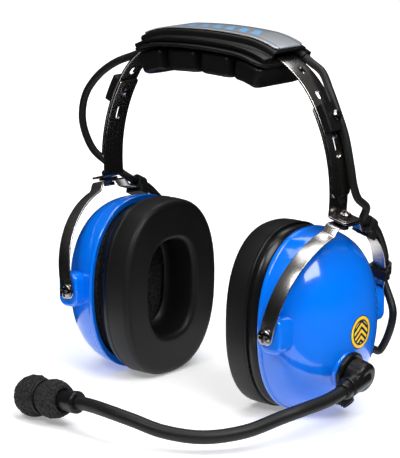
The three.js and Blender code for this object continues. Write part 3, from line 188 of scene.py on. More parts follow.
class Tree:
    """A material's nodes round one Principled shader."""

    def __init__(self, name):
        self.material = bpy.data.materials.new(name)
        self.material.use_nodes = True
        self.nodes = self.material.node_tree.nodes
        self.links = self.material.node_tree.links
        self.shader = next(n for n in self.nodes if n.type == "BSDF_PRINCIPLED")

    def connect(self, value, socket):
        if isinstance(value, Shade):
            self.links.new(value.socket, socket)
        else:
            socket.default_value = value

    def add(self, kind, settings=None, inputs=None, output=0):
        """Adds a node: its settings, then its sockets' values or links."""
        node = self.nodes.new(kind)
        for key, value in (settings or {}).items():
            if key == "stops":
                ramp = node.color_ramp
                ramp.elements[0].position, ramp.elements[0].color = value[0]
                ramp.elements[1].position, ramp.elements[1].color = value[-1]
                for position, color in value[1:-1]:
                    ramp.elements.new(position).color = color
            else:
                setattr(node, key, value)
        for key, value in (inputs or {}).items():
            self.connect(value, node.inputs[key])
        return Shade(self, node.outputs[output])

    def place(self):
        """Object coordinates, in metres."""
        return self.add("ShaderNodeTexCoord", output="Object")

    def run(self):
        """The piece's own measure, in metres: x along it and y round it."""
        return self.add("ShaderNodeAttribute", {"attribute_name": "run"}, output="Vector")

    def part(self, vector, axis):
        """One coordinate of a vector: 0 for x, 1 for y and 2 for z."""
        return self.add("ShaderNodeSeparateXYZ", {}, {"Vector": vector}, output=axis)

    def stretched(self, vector, scale):
        return self.add("ShaderNodeMapping", {}, {"Vector": vector, "Scale": scale})

    def noise(self, vector, scale, detail=3.0, roughness=0.5):
        values = {"Vector": vector, "Scale": scale, "Detail": detail, "Roughness": roughness}
        return self.add("ShaderNodeTexNoise", {}, values)

    def cells(self, vector, scale, feature="F1"):
        return self.add("ShaderNodeTexVoronoi", {"feature": feature}, {"Vector": vector, "Scale": scale})

    def fade(self, value, low, high):
        """0 below low, 1 above high and smooth between."""
        limits = {"Value": value, "From Min": low, "From Max": high}
        return self.add("ShaderNodeMapRange", {"interpolation_type": "SMOOTHSTEP"}, limits)

    def mixed(self, share, first, second):
        """A colour between two, by a share."""
        settings = {"data_type": "RGBA"}
        return self.add("ShaderNodeMix", settings, {0: share, 6: first, 7: second}, output=2)

    def bump(self, height, strength, depth):
        values = {"Height": height, "Strength": strength, "Distance": depth}
        return self.add("ShaderNodeBump", {}, values)

    def finish(self, uniform, varying):
        for key, value in uniform.items():
            self.shader.inputs[key].default_value = value
        for key, value in varying.items():
            self.connect(value, self.shader.inputs[key])
        return self.material


FINISH = {}  # material slot of the record: material


def color(red, green, blue):
    return (red, green, blue, 1.0)


# %% [markdown]
# ## The shells' blue
# The cups are injection-moulded and glossy. Two layers make that: a saturated base and a
# clear coat that mirrors the lights sharply. A very weak, wide bump keeps the mirror
# from being perfect, as a moulded skin never is, and faint rubbing changes its gloss.

# %% glossy blue
def shell_blue():
    tree = Tree("moulded_blue")
    place = tree.place()
    rubbing = tree.noise(place, 55, 5, 0.65)
    peel = tree.noise(place, 260, 2, 0.4)
    depth = tree.noise(place, 9, 2)
    base = tree.mixed(tree.fade(depth, 0.3, 0.7), color(0.0, 0.15, 0.76), color(0.0, 0.175, 0.88))
    return tree.finish(
        {"Coat Roughness": 0.03, "Specular IOR Level": 0.4, "Coat IOR": 1.6},
        {
            "Base Color": base,
            "Roughness": 0.1 + rubbing * 0.16,
            "Coat Weight": 0.75 - rubbing * 0.2,
            "Normal": tree.bump(peel, 0.05, 0.0002),
        },
    )


FINISH["shell_blue"] = shell_blue()
print("glossy blue ready")

# %% [markdown]
# ## Steel
# The straps are rolled strip: their grain runs lengthways. The grain has to follow each
# strap round its bends, so the texture reads the strap's own measure, stretched fifty
# times along it. The screws are plated dark, with smudges and no grain.

# %% rolled and plated steel
def band_steel():
    tree = Tree("rolled_steel")
    grain = tree.noise(tree.stretched(tree.run(), (28, 1500, 1)), 1.0, 4, 0.6)
    stain = tree.noise(tree.place(), 70, 4, 0.6)
    base = tree.mixed(tree.fade(stain, 0.35, 0.7), color(0.60, 0.575, 0.55), color(0.44, 0.42, 0.405))
    return tree.finish(
        {"Metallic": 1.0},
        {
            "Base Color": base,
            "Roughness": 0.14 + grain * 0.15 + stain * 0.04,
            "Normal": tree.bump(grain, 0.12, 0.00005),
        },
    )


def dark_steel():
    tree = Tree("plated_steel")
    smudge = tree.noise(tree.place(), 90, 3, 0.5)
    base = tree.mixed(smudge, color(0.34, 0.32, 0.31), color(0.24, 0.225, 0.22))
    return tree.finish(
        {"Metallic": 1.0},
        {"Base Color": base, "Roughness": 0.14 + smudge * 0.08},
    )


FINISH["band_steel"] = band_steel()
FINISH["dark_steel"] = dark_steel()
print("steels ready")

# %% [markdown]
# ## Black vinyl, plastic and rubber
# Four blacks sit next to each other here, and only their gloss and grain tell them
# apart: a leather-like cell pattern on the seals, a smooth satin skin on the pad, a fine
# spark-eroded texture on moulded plastic and a slightly dusty rubber on the lead. The
# seals are glossier behind the seam than in front of it.

# %% the blacks
def black_skin(name, shade, gloss, grain_scale, grain_depth, coat=0.0, shine=None):
    """A black whose gloss varies by rubbing and whose grain is a cell pattern."""
    tree = Tree(name)
    place = tree.place()
    smooth = shine(tree) if shine else 0.0
    rubbing = tree.noise(place, 45, 5, 0.6)
    grain = tree.cells(place, grain_scale, "SMOOTH_F1") + tree.noise(place, grain_scale * 2, 2) * 0.5
    base = tree.mixed(
        rubbing,
        color(shade, shade, shade * 1.04),
        color(shade * 1.7, shade * 1.7, shade * 1.75),
    )
    return tree.finish(
        {"Coat Roughness": 0.2, "Specular IOR Level": 0.25, "Coat IOR": 1.35},
        {
            "Base Color": base,
            "Roughness": rubbing * 0.14 + gloss - smooth * 0.2,
            "Coat Weight": rubbing * 0.04 + coat + smooth * 0.25,
            "Normal": tree.bump(grain, 0.35, grain_depth),
        },
    )


SHINE_FROM = (0.0178, 0.0192)  # metres round the seal's section, from where its face ends
SHINE_TO = (0.0275, 0.029)


def seal_skin():
    """The part behind the seam is glossy: it lies between two distances round the section."""

    def behind_seam(tree):
        round_section = tree.part(tree.run(), 1)
        return tree.fade(round_section, *SHINE_FROM) * (1 - tree.fade(round_section, *SHINE_TO))

    return black_skin("seal_vinyl", 0.004, 0.42, 1700, 0.00005, 0.05, behind_seam)


FINISH["seal_vinyl"] = seal_skin()
FINISH["pad_vinyl"] = black_skin("pad_vinyl", 0.0035, 0.26, 1500, 0.00003, 0.06)
FINISH["black_plastic"] = black_skin("moulded_black", 0.0045, 0.24, 2600, 0.00002, 0.05)
FINISH["lead_rubber"] = black_skin("lead_rubber", 0.006, 0.38, 2200, 0.00002)
print("blacks ready")

# %% [markdown]
# ## Foam
# The muff is open-cell foam: a sponge of pits about half a millimetre across. Pits are
# the gaps between cells, so the distance to a cell's edge drives the depth. The same
# measure paints shade into the pits, which are a quarter as bright as the cell walls.

# %% open-cell foam
def foam(name, shade, pit_scale):
    tree = Tree(name)
    place = tree.place()
    wobble = tree.noise(place, pit_scale * 0.35, 3)
    pits = tree.cells(place, pit_scale)
    fine = tree.noise(place, pit_scale * 1.7, 3, 0.7)
    wall = tree.fade(pits + (fine - 0.5) * 0.5 + (wobble - 0.5) * 0.3, 0.15, 0.7)
    # painted shade: the pits' colour is a quarter of the foam's own tone, as shade in the hollows
    base = tree.mixed(
        wall,
        color(shade * 0.25, shade * 0.25, shade * 0.25),
        color(shade, shade, shade * 1.05),
    )
    return tree.finish(
        {"Specular IOR Level": 0.3},
        {"Base Color": base, "Roughness": 0.98 - wall * 0.1, "Normal": tree.bump(wall, 1.0, 0.0005)},
    )


FINISH["muff_foam"] = foam("muff_foam", 0.022, 900)
FINISH["inner_foam"] = foam("liner_foam", 0.02, 700)
print("foams ready")

# %% [markdown]
# ## Printed label, badge and circuit board
# The pad carries a silver strip printed with pale blue bars, and the left cup a small
# badge. Both designs are generic ones: plain bars and a roundel of chevrons. The bars
# follow the distance along the strip, so they bend with it, and the headset's y across.

# %% prints
BAR_PITCH = 0.0092


def label_print():
    tree = Tree("label_print")
    along = tree.part(tree.run(), 0)
    across = tree.part(tree.place(), 1) - PIVOTS[1] * MM
    count = (along + across * 0.45) * (1 / BAR_PITCH)
    beat = abs(count.math("FRACT", count) - 0.5)
    ends = (along > 0.014) * (along < 0.078)
    bars = tree.fade(beat, 0.2, 0.24) * ends * (abs(across) < 0.0055)
    rails = (abs(across) > 0.0092) * (abs(across) < 0.0098)
    brushed = tree.noise(tree.stretched(tree.run(), (40, 1400, 1)), 1.0, 4, 0.6)
    silver = tree.mixed(brushed, color(0.36, 0.38, 0.42), color(0.55, 0.57, 0.61))
    printed = tree.mixed(bars, silver, color(0.2, 0.5, 0.86))
    printed = tree.mixed(rails, printed, color(0.07, 0.08, 0.1))
    return tree.finish(
        {"Coat Roughness": 0.12},
        {
            "Base Color": printed,
            "Metallic": 0.5 - bars * 0.45,
            "Roughness": 0.24 + brushed * 0.14,
            "Coat Weight": 0.35 + bars * 0.1,
        },
    )


def board_green():
    tree = Tree("board_green")
    tracks = tree.cells(tree.place(), 500, "DISTANCE_TO_EDGE")
    base = tree.mixed(tree.fade(tracks, 0.05, 0.09), color(0.1, 0.3, 0.12), color(0.012, 0.1, 0.03))
    return tree.finish({}, {"Base Color": base, "Roughness": 0.35 + tracks * 0.2})


FINISH["label_print"] = label_print()
FINISH["board_green"] = board_green()
print("prints ready")

# %% [markdown]
# ## From a formula to a mesh
# Nearly every piece here is a sheet of quads over a grid of points. One function turns
# such a grid into a closed mesh: it joins neighbours, closes the ends, merges the points
# that meet at a pole, and turns all faces outwards.

# %% grids to meshes
def stacked(*parts):
    """Arrays or plain numbers side by side, as the coordinates of points."""
    return np.stack(np.broadcast_arrays(*parts), axis=-1)


def lengths(line):
    """How far along a line each of its points is."""
    return np.concatenate([[0], np.cumsum(np.linalg.norm(np.diff(line, axis=0), axis=1))])


def unit(vectors):
    return vectors / np.linalg.norm(vectors, axis=-1, keepdims=True)


def measured(grid):
    """For each point of the grid, metres along its rows' middles and along its middle row."""
    along, across = lengths(grid.mean(axis=1)), lengths(grid[len(grid) // 2])
    return stacked(along[:, None], across, 0) * MM


def merged(mesh):
    """Merges points that meet and turns every face outwards."""
    work = bmesh.new()
    work.from_mesh(mesh)
    bmesh.ops.remove_doubles(work, verts=work.verts, dist=2e-7)
    bmesh.ops.dissolve_degenerate(work, edges=work.edges, dist=1e-8)
    bmesh.ops.recalc_face_normals(work, faces=work.faces)
    work.to_mesh(mesh)
    work.free()


def smoothed(mesh, crease=35):
    """Smooth shading, with edges sharper than the crease angle left crisp."""
    mesh.shade_smooth()
    mesh.set_sharp_from_angle(angle=math.radians(crease))


def surface(name, grid, around=True, along=False, caps=True, crease=35):
    """A mesh over points[row, column]: quads join neighbours, round and along if asked."""
    rows, columns = grid.shape[:2]
    number = np.arange(rows * columns).reshape(rows, columns)
    if around:
        number = np.concatenate([number, number[:, :1]], axis=1)
    if along:
        number = np.concatenate([number, number[:1]], axis=0)
    corners = [number[:-1, :-1], number[:-1, 1:], number[1:, 1:], number[1:, :-1]]
    faces = np.stack(corners, axis=-1).reshape(-1, 4).tolist()
    if caps and around and not along:
        faces.append(number[0, :-1].tolist()[::-1])
        faces.append(number[-1, :-1].tolist())
    mesh = bpy.data.meshes.new(name)
    mesh.from_pydata(placed(grid.reshape(-1, 3)).tolist(), [], faces)
    run = mesh.attributes.new("run", "FLOAT_VECTOR", "POINT")
    run.data.foreach_set("vector", measured(grid).astype(np.float32).ravel())
    merged(mesh)
    smoothed(mesh, crease)
    return linked(name, mesh)


def fitted(piece, slot, body, *nodes):
    """Gives a piece its finish and body, and lets it stand for CAD nodes."""
    piece.data.materials.clear()
    piece.data.materials.append(FINISH[slot])
    if body:
        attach(piece, body)
    if nodes:
        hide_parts(*nodes)
    return piece


def eased(piece, width, segments=3, angle=30):
    """A live bevel that breaks every edge sharper than the angle."""
    bevel = piece.modifiers.new("eased_edges", "BEVEL")
    bevel.width = width * MM
    bevel.segments = segments
    bevel.limit_method = "ANGLE"
    bevel.angle_limit = math.radians(angle)
    return piece


def applied(piece):
    """The piece with its modifiers made into its mesh."""
    graph = bpy.context.evaluated_depsgraph_get()
    mesh = bpy.data.meshes.new_from_object(piece.evaluated_get(graph))
    piece.modifiers.clear()
    piece.data = mesh
    return piece


def cut(piece, *cutters):
    """Subtracts each cutter from the piece."""
    for cutter in cutters:
        hole = piece.modifiers.new("hole", "BOOLEAN")
        hole.operation = "DIFFERENCE"
        hole.solver = "EXACT"
        hole.object = cutter
    bpy.context.view_layer.update()
    applied(piece)
    for cutter in cutters:
        bpy.data.objects.remove(cutter)
    smoothed(piece.data)
    return piece


# %% [markdown]
# ## Sections and sweeps
# A strap, a lead and a pad are all one idea: a flat outline carried along a line. The
# outline is drawn once with its corners rounded, and each row of the grid is that
# outline set up at one station of the line.

# %% outlines
X_AXIS, Y_AXIS, Z_AXIS = np.eye(3)


def rounded_box(width, height, radius, steps=5):
    """A rectangle about the origin whose corners are quarter circles."""
    corner = np.linspace(0, math.pi / 2, steps)
    angle = (corner[None] + np.arange(4)[:, None] * math.pi / 2)
    signs = np.array([[1, 1], [-1, 1], [-1, -1], [1, -1]])[:, None]
    middle = signs * (np.array([width, height]) / 2 - radius)
    arc = radius * stacked(np.cos(angle), np.sin(angle))
    return (middle + arc).reshape(-1, 2)


def softened(outline, radius, steps=5):
    """An outline whose corners are replaced by parabolas that start `radius` away."""
    here = np.asarray(outline, float)
    back = np.roll(here, 1, axis=0) - here
    ahead = np.roll(here, -1, axis=0) - here
    reach_back = np.minimum(radius, np.linalg.norm(back, axis=1) * 0.45)[:, None]
    reach_ahead = np.minimum(radius, np.linalg.norm(ahead, axis=1) * 0.45)[:, None]
    first = here + back / np.linalg.norm(back, axis=1)[:, None] * reach_back
    last = here + ahead / np.linalg.norm(ahead, axis=1)[:, None] * reach_ahead
    t = np.linspace(0, 1, steps)[None, :, None]
    curve = (1 - t) ** 2 * first[:, None] + 2 * t * (1 - t) * here[:, None] + t**2 * last[:, None]
    return curve.reshape(-1, 2)


def circle(radius, count):
    angle = np.arange(count) * 2 * math.pi / count
    return radius * stacked(np.cos(angle), np.sin(angle))


def swept(section, centres, across, out):
    """Row i is centre[i] + a * across[i] + b * out[i] for the section's points (a, b)."""
    section = np.broadcast_to(section, (len(centres),) + np.shape(section)[-2:])
    across = np.broadcast_to(across, centres.shape)
    out = np.broadcast_to(out, centres.shape)
    return (
        centres[:, None]
        + section[..., 0:1] * across[:, None]
        + section[..., 1:2] * out[:, None]
    )


def round_ended(section, distance, length, radius):
    """The section at each distance along, drawn in over the last `radius` at both ends."""
    near = np.minimum(distance, length - distance)
    short = np.clip(radius - near, 0, radius)
    half = np.abs(section[:, 0]).max()
    inside = half - radius + np.sqrt(np.maximum(radius**2 - short**2, 1e-4))
    share = stacked(inside / half, np.ones_like(inside))
    return section[None] * share[:, None]


def end_dense(length, count, radius):
    """Distances from 0 to length with extra ones near both ends."""
    ends = radius * (1 - np.cos(np.linspace(0, math.pi / 2, 9)))
    return np.unique(np.concatenate([ends, length - ends, np.linspace(0, length, count)]).round(5))


# %% [markdown]
# ## The headband's line
# The band is five arcs that meet without a kink: a flat crown, two tight shoulders and
# two sides. Its station function gives the middle of the strap and the way outwards at
# any distance from the crown, and everything on the band is built with it.

# %% band stations
SIDE_RADIUS = 95
SIDE_CENTRE = (-11, 70)
SIDE_TO_SHOULDER = math.radians(33)
SHOULDER_RADIUS = 55.5
CROWN_RISE = 0.9
STRAP_WIDTH = 16
STRAP_THICKNESS = 1.2
shoulder_reach = SIDE_RADIUS - SHOULDER_RADIUS
SHOULDER_CENTRE = (
    SIDE_CENTRE[0] + shoulder_reach * math.cos(SIDE_TO_SHOULDER),
    SIDE_CENTRE[1] + shoulder_reach * math.sin(SIDE_TO_SHOULDER),
)
SHOULDER_TO_CROWN = math.pi / 2 - 2 * math.atan(CROWN_RISE / SHOULDER_CENTRE[0])
CROWN_RADIUS = SHOULDER_RADIUS + SHOULDER_CENTRE[0] / math.cos(SHOULDER_TO_CROWN)
CROWN_Z = SHOULDER_CENTRE[1] - (CROWN_RADIUS - SHOULDER_RADIUS) * math.sin(SHOULDER_TO_CROWN)
CROWN_LENGTH = CROWN_RADIUS * (math.pi / 2 - SHOULDER_TO_CROWN)
SHOULDER_END = CROWN_LENGTH + SHOULDER_RADIUS * (SHOULDER_TO_CROWN - SIDE_TO_SHOULDER)
BAND_HALF = SHOULDER_END + SIDE_RADIUS * SIDE_TO_SHOULDER


def band(s):
    """Centre + radius * (cos, sin) of the arc that holds distance s, and that direction."""
    s = np.asarray(s, float)
    distance = np.abs(s)
    arcs = [distance > SHOULDER_END, distance > CROWN_LENGTH]
    angle = np.select(
        arcs,
        [
            SIDE_TO_SHOULDER - (distance - SHOULDER_END) / SIDE_RADIUS,
            SHOULDER_TO_CROWN - (distance - CROWN_LENGTH) / SHOULDER_RADIUS,
        ],
        math.pi / 2 - distance / CROWN_RADIUS,
    )
    radius = np.select(arcs, [SIDE_RADIUS, SHOULDER_RADIUS], CROWN_RADIUS)
    x = np.select(arcs, [SIDE_CENTRE[0], SHOULDER_CENTRE[0]], 0) + radius * np.cos(angle)
    z = np.select(arcs, [SIDE_CENTRE[1], SHOULDER_CENTRE[1]], CROWN_Z) + radius * np.sin(angle)
    side = np.where(s < 0, -1, 1)
    zero = np.zeros_like(x)
    return stacked(side * x, zero, z), stacked(side * np.cos(angle), zero, np.sin(angle))


def on_band(s, behind, out):
    """The point `behind` the strap's middle and `out` from it at distance s."""
    centre, normal = band(s)
    return centre + np.multiply.outer(behind, Y_AXIS) + np.asarray(out)[..., None] * normal


def along_band(section, s):
    """A section, x across the strap and y outwards, carried along the band."""
    centre, normal = band(s)
    return swept(section, centre, Y_AXIS, normal)


def strap_slot(s, length, width, reach=3):
    """A cutter through the strap: a stadium outline pushed along the normal."""
    outline = rounded_box(length, width, width / 2 - 0.01, 9)
    along, across = s + outline[:, 0], outline[:, 1]
    rows = [on_band(along, across, np.full(len(outline), out)) for out in (-reach, reach)]
    return surface("slot", np.array(rows))


print("band length, mm:", round(2 * BAND_HALF, 1))

# %% [markdown]
# ## Headband spring
# One strip of spring steel with a long slot and two small windows at each side, where
# the clamp screws slide and click. The strip is swept with rounded edges, its corners
# are drawn in at the ends, and the slots are cut afterwards as a press would punch them.

# %% headband spring
CLAMP_UP = 43
SLOT_TRAVEL = SIDE_RADIUS * math.radians(12)
SLOT_WIDTH = 4
DETENT_UPS = (57, 74)
DETENT = (5.4, 4)


def headband_spring():
    length = 2 * BAND_HALF
    distance = end_dense(length, 420, 3)
    section = round_ended(rounded_box(STRAP_WIDTH, STRAP_THICKNESS, 0.4), distance, length, 3)
    strap = surface("band_spring", along_band(section, distance - BAND_HALF))
    slots = []
    for side in (-1, 1):
        middle = side * (BAND_HALF - CLAMP_UP + SLOT_TRAVEL / 2)
        slots.append(strap_slot(middle, SLOT_TRAVEL + SLOT_WIDTH, SLOT_WIDTH))
        slots += [strap_slot(side * (BAND_HALF - up), *DETENT) for up in DETENT_UPS]
    return fitted(cut(strap, *slots), "band_steel", "headband", "headband_spring")


spring = headband_spring()
print("spring faces:", len(spring.data.polygons))

# %% [markdown]
# ## Head pad
# A moulded channel lies over the spring and the lead. Under it is a thin base with a
# rolled edge, and under that hang four foam cells. The cover's front ledge has fine
# raised ribs that catch the light in long lines.

# %% pad cover, base and ribs
COVER_HALF = 47
COVER_TOP_WIDTH = 28
COVER_FOOT_WIDTH = 42
COVER_WALL = 1.4
COVER_SPLAY = 2.5
COVER_FOOT = -STRAP_THICKNESS / 2
COVER_TOP = COVER_FOOT + 6.4
LEDGE = COVER_FOOT + 2.2
BASE_WIDTH = 50
BASE_TOP = COVER_FOOT - GAP
BASE_THICKNESS = 2
BASE_HALF = COVER_HALF + 2
RIB_COUNT = 5
RIB_SPACING = 1.15
RIB_RADIUS = 0.32
RIB_SHORTER = 3.5  # each rib ends this much before the last one


def pad_cover():
    foot, top = COVER_FOOT_WIDTH / 2, COVER_TOP_WIDTH / 2
    right = [
        (top - 1, COVER_TOP),
        (top, COVER_TOP - 1),
        (top + 0.6, LEDGE + 0.5),
        (foot, LEDGE),
        (foot, COVER_FOOT),
        (top - COVER_WALL + COVER_SPLAY, COVER_FOOT),
        (top - COVER_WALL, COVER_TOP - COVER_WALL),
    ]
    outline = np.array(right + [(-a, b) for a, b in right[::-1]])
    s = np.linspace(-COVER_HALF, COVER_HALF, 120)
    cover = surface("pad_cover_skin", along_band(softened(outline, 0.6, 5), s))
    return fitted(eased(cover, 0.25, 2, 50), "pad_vinyl", "headband", "pad_cover")


def ledge_ribs():
    ribs = []
    for number in range(RIB_COUNT):
        behind = -(COVER_TOP_WIDTH / 2 + 1.9 + number * RIB_SPACING)
        ledge_start = COVER_TOP_WIDTH / 2 + 0.6
        share = (-behind - ledge_start) / (COVER_FOOT_WIDTH / 2 - ledge_start)
        height = LEDGE + 0.5 * (1 - share)
        end = COVER_HALF - 6 - number * RIB_SHORTER
        s = np.linspace(-end, end, 90)
        distance = s + end
        short = np.clip(np.minimum(distance, 2 * end - distance) / 2, 0.05, 1)[:, None, None]
        section = circle(RIB_RADIUS, 8) * short + (behind, height)
        rib = surface(f"ledge_rib_{number + 1}", along_band(section, s))
        ribs.append(fitted(rib, "pad_vinyl", "headband"))
    return ribs


def pad_base():
    distance = end_dense(2 * BASE_HALF, 110, 9)
    plate = softened(
        [
            (BASE_WIDTH / 2, BASE_TOP),
            (-BASE_WIDTH / 2, BASE_TOP),
            (-BASE_WIDTH / 2, BASE_TOP - BASE_THICKNESS),
            (BASE_WIDTH / 2, BASE_TOP - BASE_THICKNESS),
        ],
        1.1,
        6,
    )
    section = round_ended(plate, distance, 2 * BASE_HALF, 9)
    base = surface("pad_base_plate", along_band(section, distance - BASE_HALF))
    return fitted(base, "black_plastic", "headband", "pad_base")


cover = pad_cover()
ribs = ledge_ribs()
base = pad_base()
print("cover, base and", len(ribs), "ribs")

# %% [markdown]
# ## Foam cells
# Each cell is a little cushion in a thin skin. A superellipsoid gives its boxy start:
# a sphere whose cosines and sines are raised to a small power. Cloth with air pressure
# inside then swells it, so that the sides crown between the edges like a filled pad.

# %% superellipsoid
CELL_COUNT = 4
CELL_SPACE = 1.6
CELL_WIDTH = 45
CELL_HEIGHT = 14.5
CELL_TOP = BASE_TOP - BASE_THICKNESS - FIT


def signed_power(value, exponent):
    return np.sign(value) * np.abs(value) ** exponent


def superellipsoid(half, boxiness, rows=30, columns=72):
    """half * (cos^e u cos^e v, cos^e u sin^e v, sin^e u): a box for e near 0, round at 1."""
    u = np.linspace(-math.pi / 2, math.pi / 2, rows)[:, None]
    v = (np.arange(columns) * 2 * math.pi / columns)[None]
    flat = signed_power(np.cos(u), boxiness[0])
    x = half[0] * flat * signed_power(np.cos(v), boxiness[1])
    y = half[1] * flat * signed_power(np.sin(v), boxiness[1])
    z = half[2] * signed_power(np.sin(u), boxiness[0]) * np.ones_like(v)
    return stacked(x, y, z)


def swollen(piece, pressure, most):
    """Cloth with air inside for twenty frames; no point moves more than `most` mm."""
    rest = np.zeros(len(piece.data.vertices) * 3)
    piece.data.vertices.foreach_get("co", rest)
    cloth = piece.modifiers.new("filling", "CLOTH")
    cloth.settings.quality = 6
    cloth.settings.mass = 0.1
    cloth.settings.use_pressure = True
    cloth.settings.uniform_pressure_force = pressure
    cloth.settings.effector_weights.gravity = 0
    cloth.point_cache.frame_start = 1
    cloth.point_cache.frame_end = 20
    for number in range(1, 21):
        bpy.context.scene.frame_set(number)
    applied(piece)
    moved = np.zeros(len(piece.data.vertices) * 3)
    piece.data.vertices.foreach_get("co", moved)
    step = (moved - rest).reshape(-1, 3)
    far = np.linalg.norm(step, axis=1, keepdims=True)
    step *= np.minimum(1, most * MM / np.maximum(far, 1e-9))
    piece.data.vertices.foreach_set("co", (rest.reshape(-1, 3) + step).ravel())
    piece.data.update()
    bpy.context.scene.frame_set(1)
    return piece


# %% the four cells
def foam_cell(number):
    pitch = (2 * BASE_HALF + CELL_SPACE) / CELL_COUNT
    middle = -BASE_HALF + (number - 0.5) * pitch - CELL_SPACE / 2
    shape = superellipsoid(
        (pitch / 2 - CELL_SPACE / 2 - 0.2, CELL_WIDTH / 2 - 0.6, CELL_HEIGHT / 2 - 0.3),
        (0.34, 0.26),
    )
    s = middle + shape[..., 0]
    grid = on_band(s, shape[..., 1], CELL_TOP - CELL_HEIGHT / 2 + shape[..., 2])
    cell = surface(f"foam_cell_{number}", grid, caps=False, crease=80)
    swollen(cell, 4, 0.7)
    subdivision = cell.modifiers.new("fine", "SUBSURF")
    subdivision.levels = subdivision.render_levels = 1
    fitted(cell, "pad_vinyl", "headband", f"pad_cell_{number}")
    return cell


cells = [foam_cell(number) for number in range(1, CELL_COUNT + 1)]
print("cells:", [c.name for c in cells])

# %% [markdown]
# ## Label strip
# A thin printed strip with rounded corners lies on the cover's flat top.

# %% label
LABEL_WIDTH = 25
LABEL_THICKNESS = 0.8


def label_strip():
    low = COVER_TOP + FIT
    reach = COVER_HALF - 1
    distance = end_dense(2 * reach, 110, 3)
    outline = np.roll(rounded_box(LABEL_WIDTH, LABEL_THICKNESS, 0.35), -6, axis=0)
    section = round_ended(outline, distance, 2 * reach, 3) + (0, low + LABEL_THICKNESS / 2)
    strip = surface("label_strip", along_band(section, distance - reach))
    return fitted(strip, "label_print", "headband", "label_plate")


label = label_strip()
print("label faces:", len(label.data.polygons))

# %% [markdown]
# ## Steel arms and stirrups
# Arms and stirrups are the same strip, bent. A real bend has a radius of about the
# strip's thickness, so the line is drawn with sharp corners, walked in even steps and
# averaged over a millimetre or two, which rounds each corner as a press brake does. The
# stirrups' screw holes lie under the heads and are left out, so the bolts' shanks pass
# through the strap here; the mechanical model has the holes.

# %% bent strips
STIRRUP_LEAN = math.radians(13.3)
PIVOT_HALF_SPAN = 73
ARM_OUT = -(STRAP_THICKNESS + GAP)


def in_stirrup(points):
    """Stirrup frame to headset: z up the leaning stirrup, x out of its plane."""
    x, y, z = np.moveaxis(np.asarray(points, float), -1, 0)
    cos, sin = math.cos(STIRRUP_LEAN), math.sin(STIRRUP_LEAN)
    return stacked(PIVOT_HALF_SPAN + x * cos + z * sin, y, z * cos - x * sin)


def on_side(points, sign):
    """The left side's points, or the same turned half round for the right."""
    return np.asarray(points) * (sign, sign, 1)


def walked(corners, step, blur):
    """Even steps along a polyline, each then averaged over `blur` each way."""
    corners = np.asarray(corners, float)
    reach = lengths(corners)
    distance = np.linspace(0, reach[-1], int(reach[-1] / step))
    line = stacked(*(np.interp(distance, reach, corners[:, k]) for k in (0, 1)))
    width = max(1, int(blur / step))
    ahead, behind = line[-1] - line[-2], line[0] - line[1]
    steps = np.arange(1, width + 1)[:, None]
    padded = np.concatenate([(line[0] + behind * steps)[::-1], line, line[-1] + ahead * steps])
    kernel = np.ones(2 * width + 1) / (2 * width + 1)
    return stacked(*(np.convolve(padded[:, k], kernel, "valid") for k in (0, 1)))


def line_normals(line):
    """The left-hand unit normals of a flat line."""
    tangent = unit(np.gradient(line, axis=0))
    return stacked(-tangent[:, 1], tangent[:, 0])


# %% height arms
ARM_TOP = 51
ARM_WINDOW_UP = 29
ARM_WINDOW = (9, 4.4)
STIRRUP_HEIGHT = 57
STIRRUP_THICKNESS = 1
WASHER_LOW = STIRRUP_HEIGHT + STIRRUP_THICKNESS / 2 + GAP
WASHER_THICKNESS = 1.2
FLANGE_MIDDLE = WASHER_LOW + WASHER_THICKNESS + GAP + STRAP_THICKNESS / 2
FLANGE_OUT = 6.5


def arm_foot_up():
    """How far below the band's end the arm meets the plane of its own flange."""
    up = np.array([math.sin(STIRRUP_LEAN), math.cos(STIRRUP_LEAN)])
    pivot = np.array([PIVOT_HALF_SPAN - SIDE_CENTRE[0], -SIDE_CENTRE[1]])
    height = pivot @ up + FLANGE_MIDDLE
    return SIDE_RADIUS * (math.atan2(up[1], up[0]) - math.acos(height / (SIDE_RADIUS + ARM_OUT)))


def slider_arm(side, sign):
    s = np.linspace(BAND_HALF - ARM_TOP, BAND_HALF - arm_foot_up(), 80)
    strap_line = on_band(s, np.zeros(len(s)), np.full(len(s), ARM_OUT))[:, (0, 2)]
    flange_end = in_stirrup((FLANGE_OUT, 0, FLANGE_MIDDLE))[[0, 2]]
    line = walked(np.concatenate([strap_line, [flange_end]]), 0.3, 0.9)
    normal = line_normals(line)
    distance = lengths(line)
    section = round_ended(rounded_box(STRAP_WIDTH, STRAP_THICKNESS, 0.4), distance, distance[-1], 2.2)
    centre, out = (stacked(flat[:, 0], 0, flat[:, 1]) for flat in (line, normal))
    arm = surface(f"{side}_height_arm", on_side(swept(section, centre, Y_AXIS, out), sign))
    window = strap_slot(sign * (BAND_HALF - ARM_WINDOW_UP), *ARM_WINDOW)
    return fitted(cut(arm, window), "band_steel", f"{side}_arm", f"{side}_slider_arm")


SIDES = {"left": 1, "right": -1}
arms = [slider_arm(side, sign) for side, sign in SIDES.items()]
print("arms:", [a.name for a in arms])

# %% stirrups
STIRRUP_HALF_WIDTH = 50
STIRRUP_STRAP = 9
STIRRUP_STEP = 3
STIRRUP_FLAT = 19
STIRRUP_FOOT = 5
STIRRUP_SPRING = 4
STIRRUP_RISE = STIRRUP_HEIGHT - STIRRUP_STEP - STIRRUP_SPRING


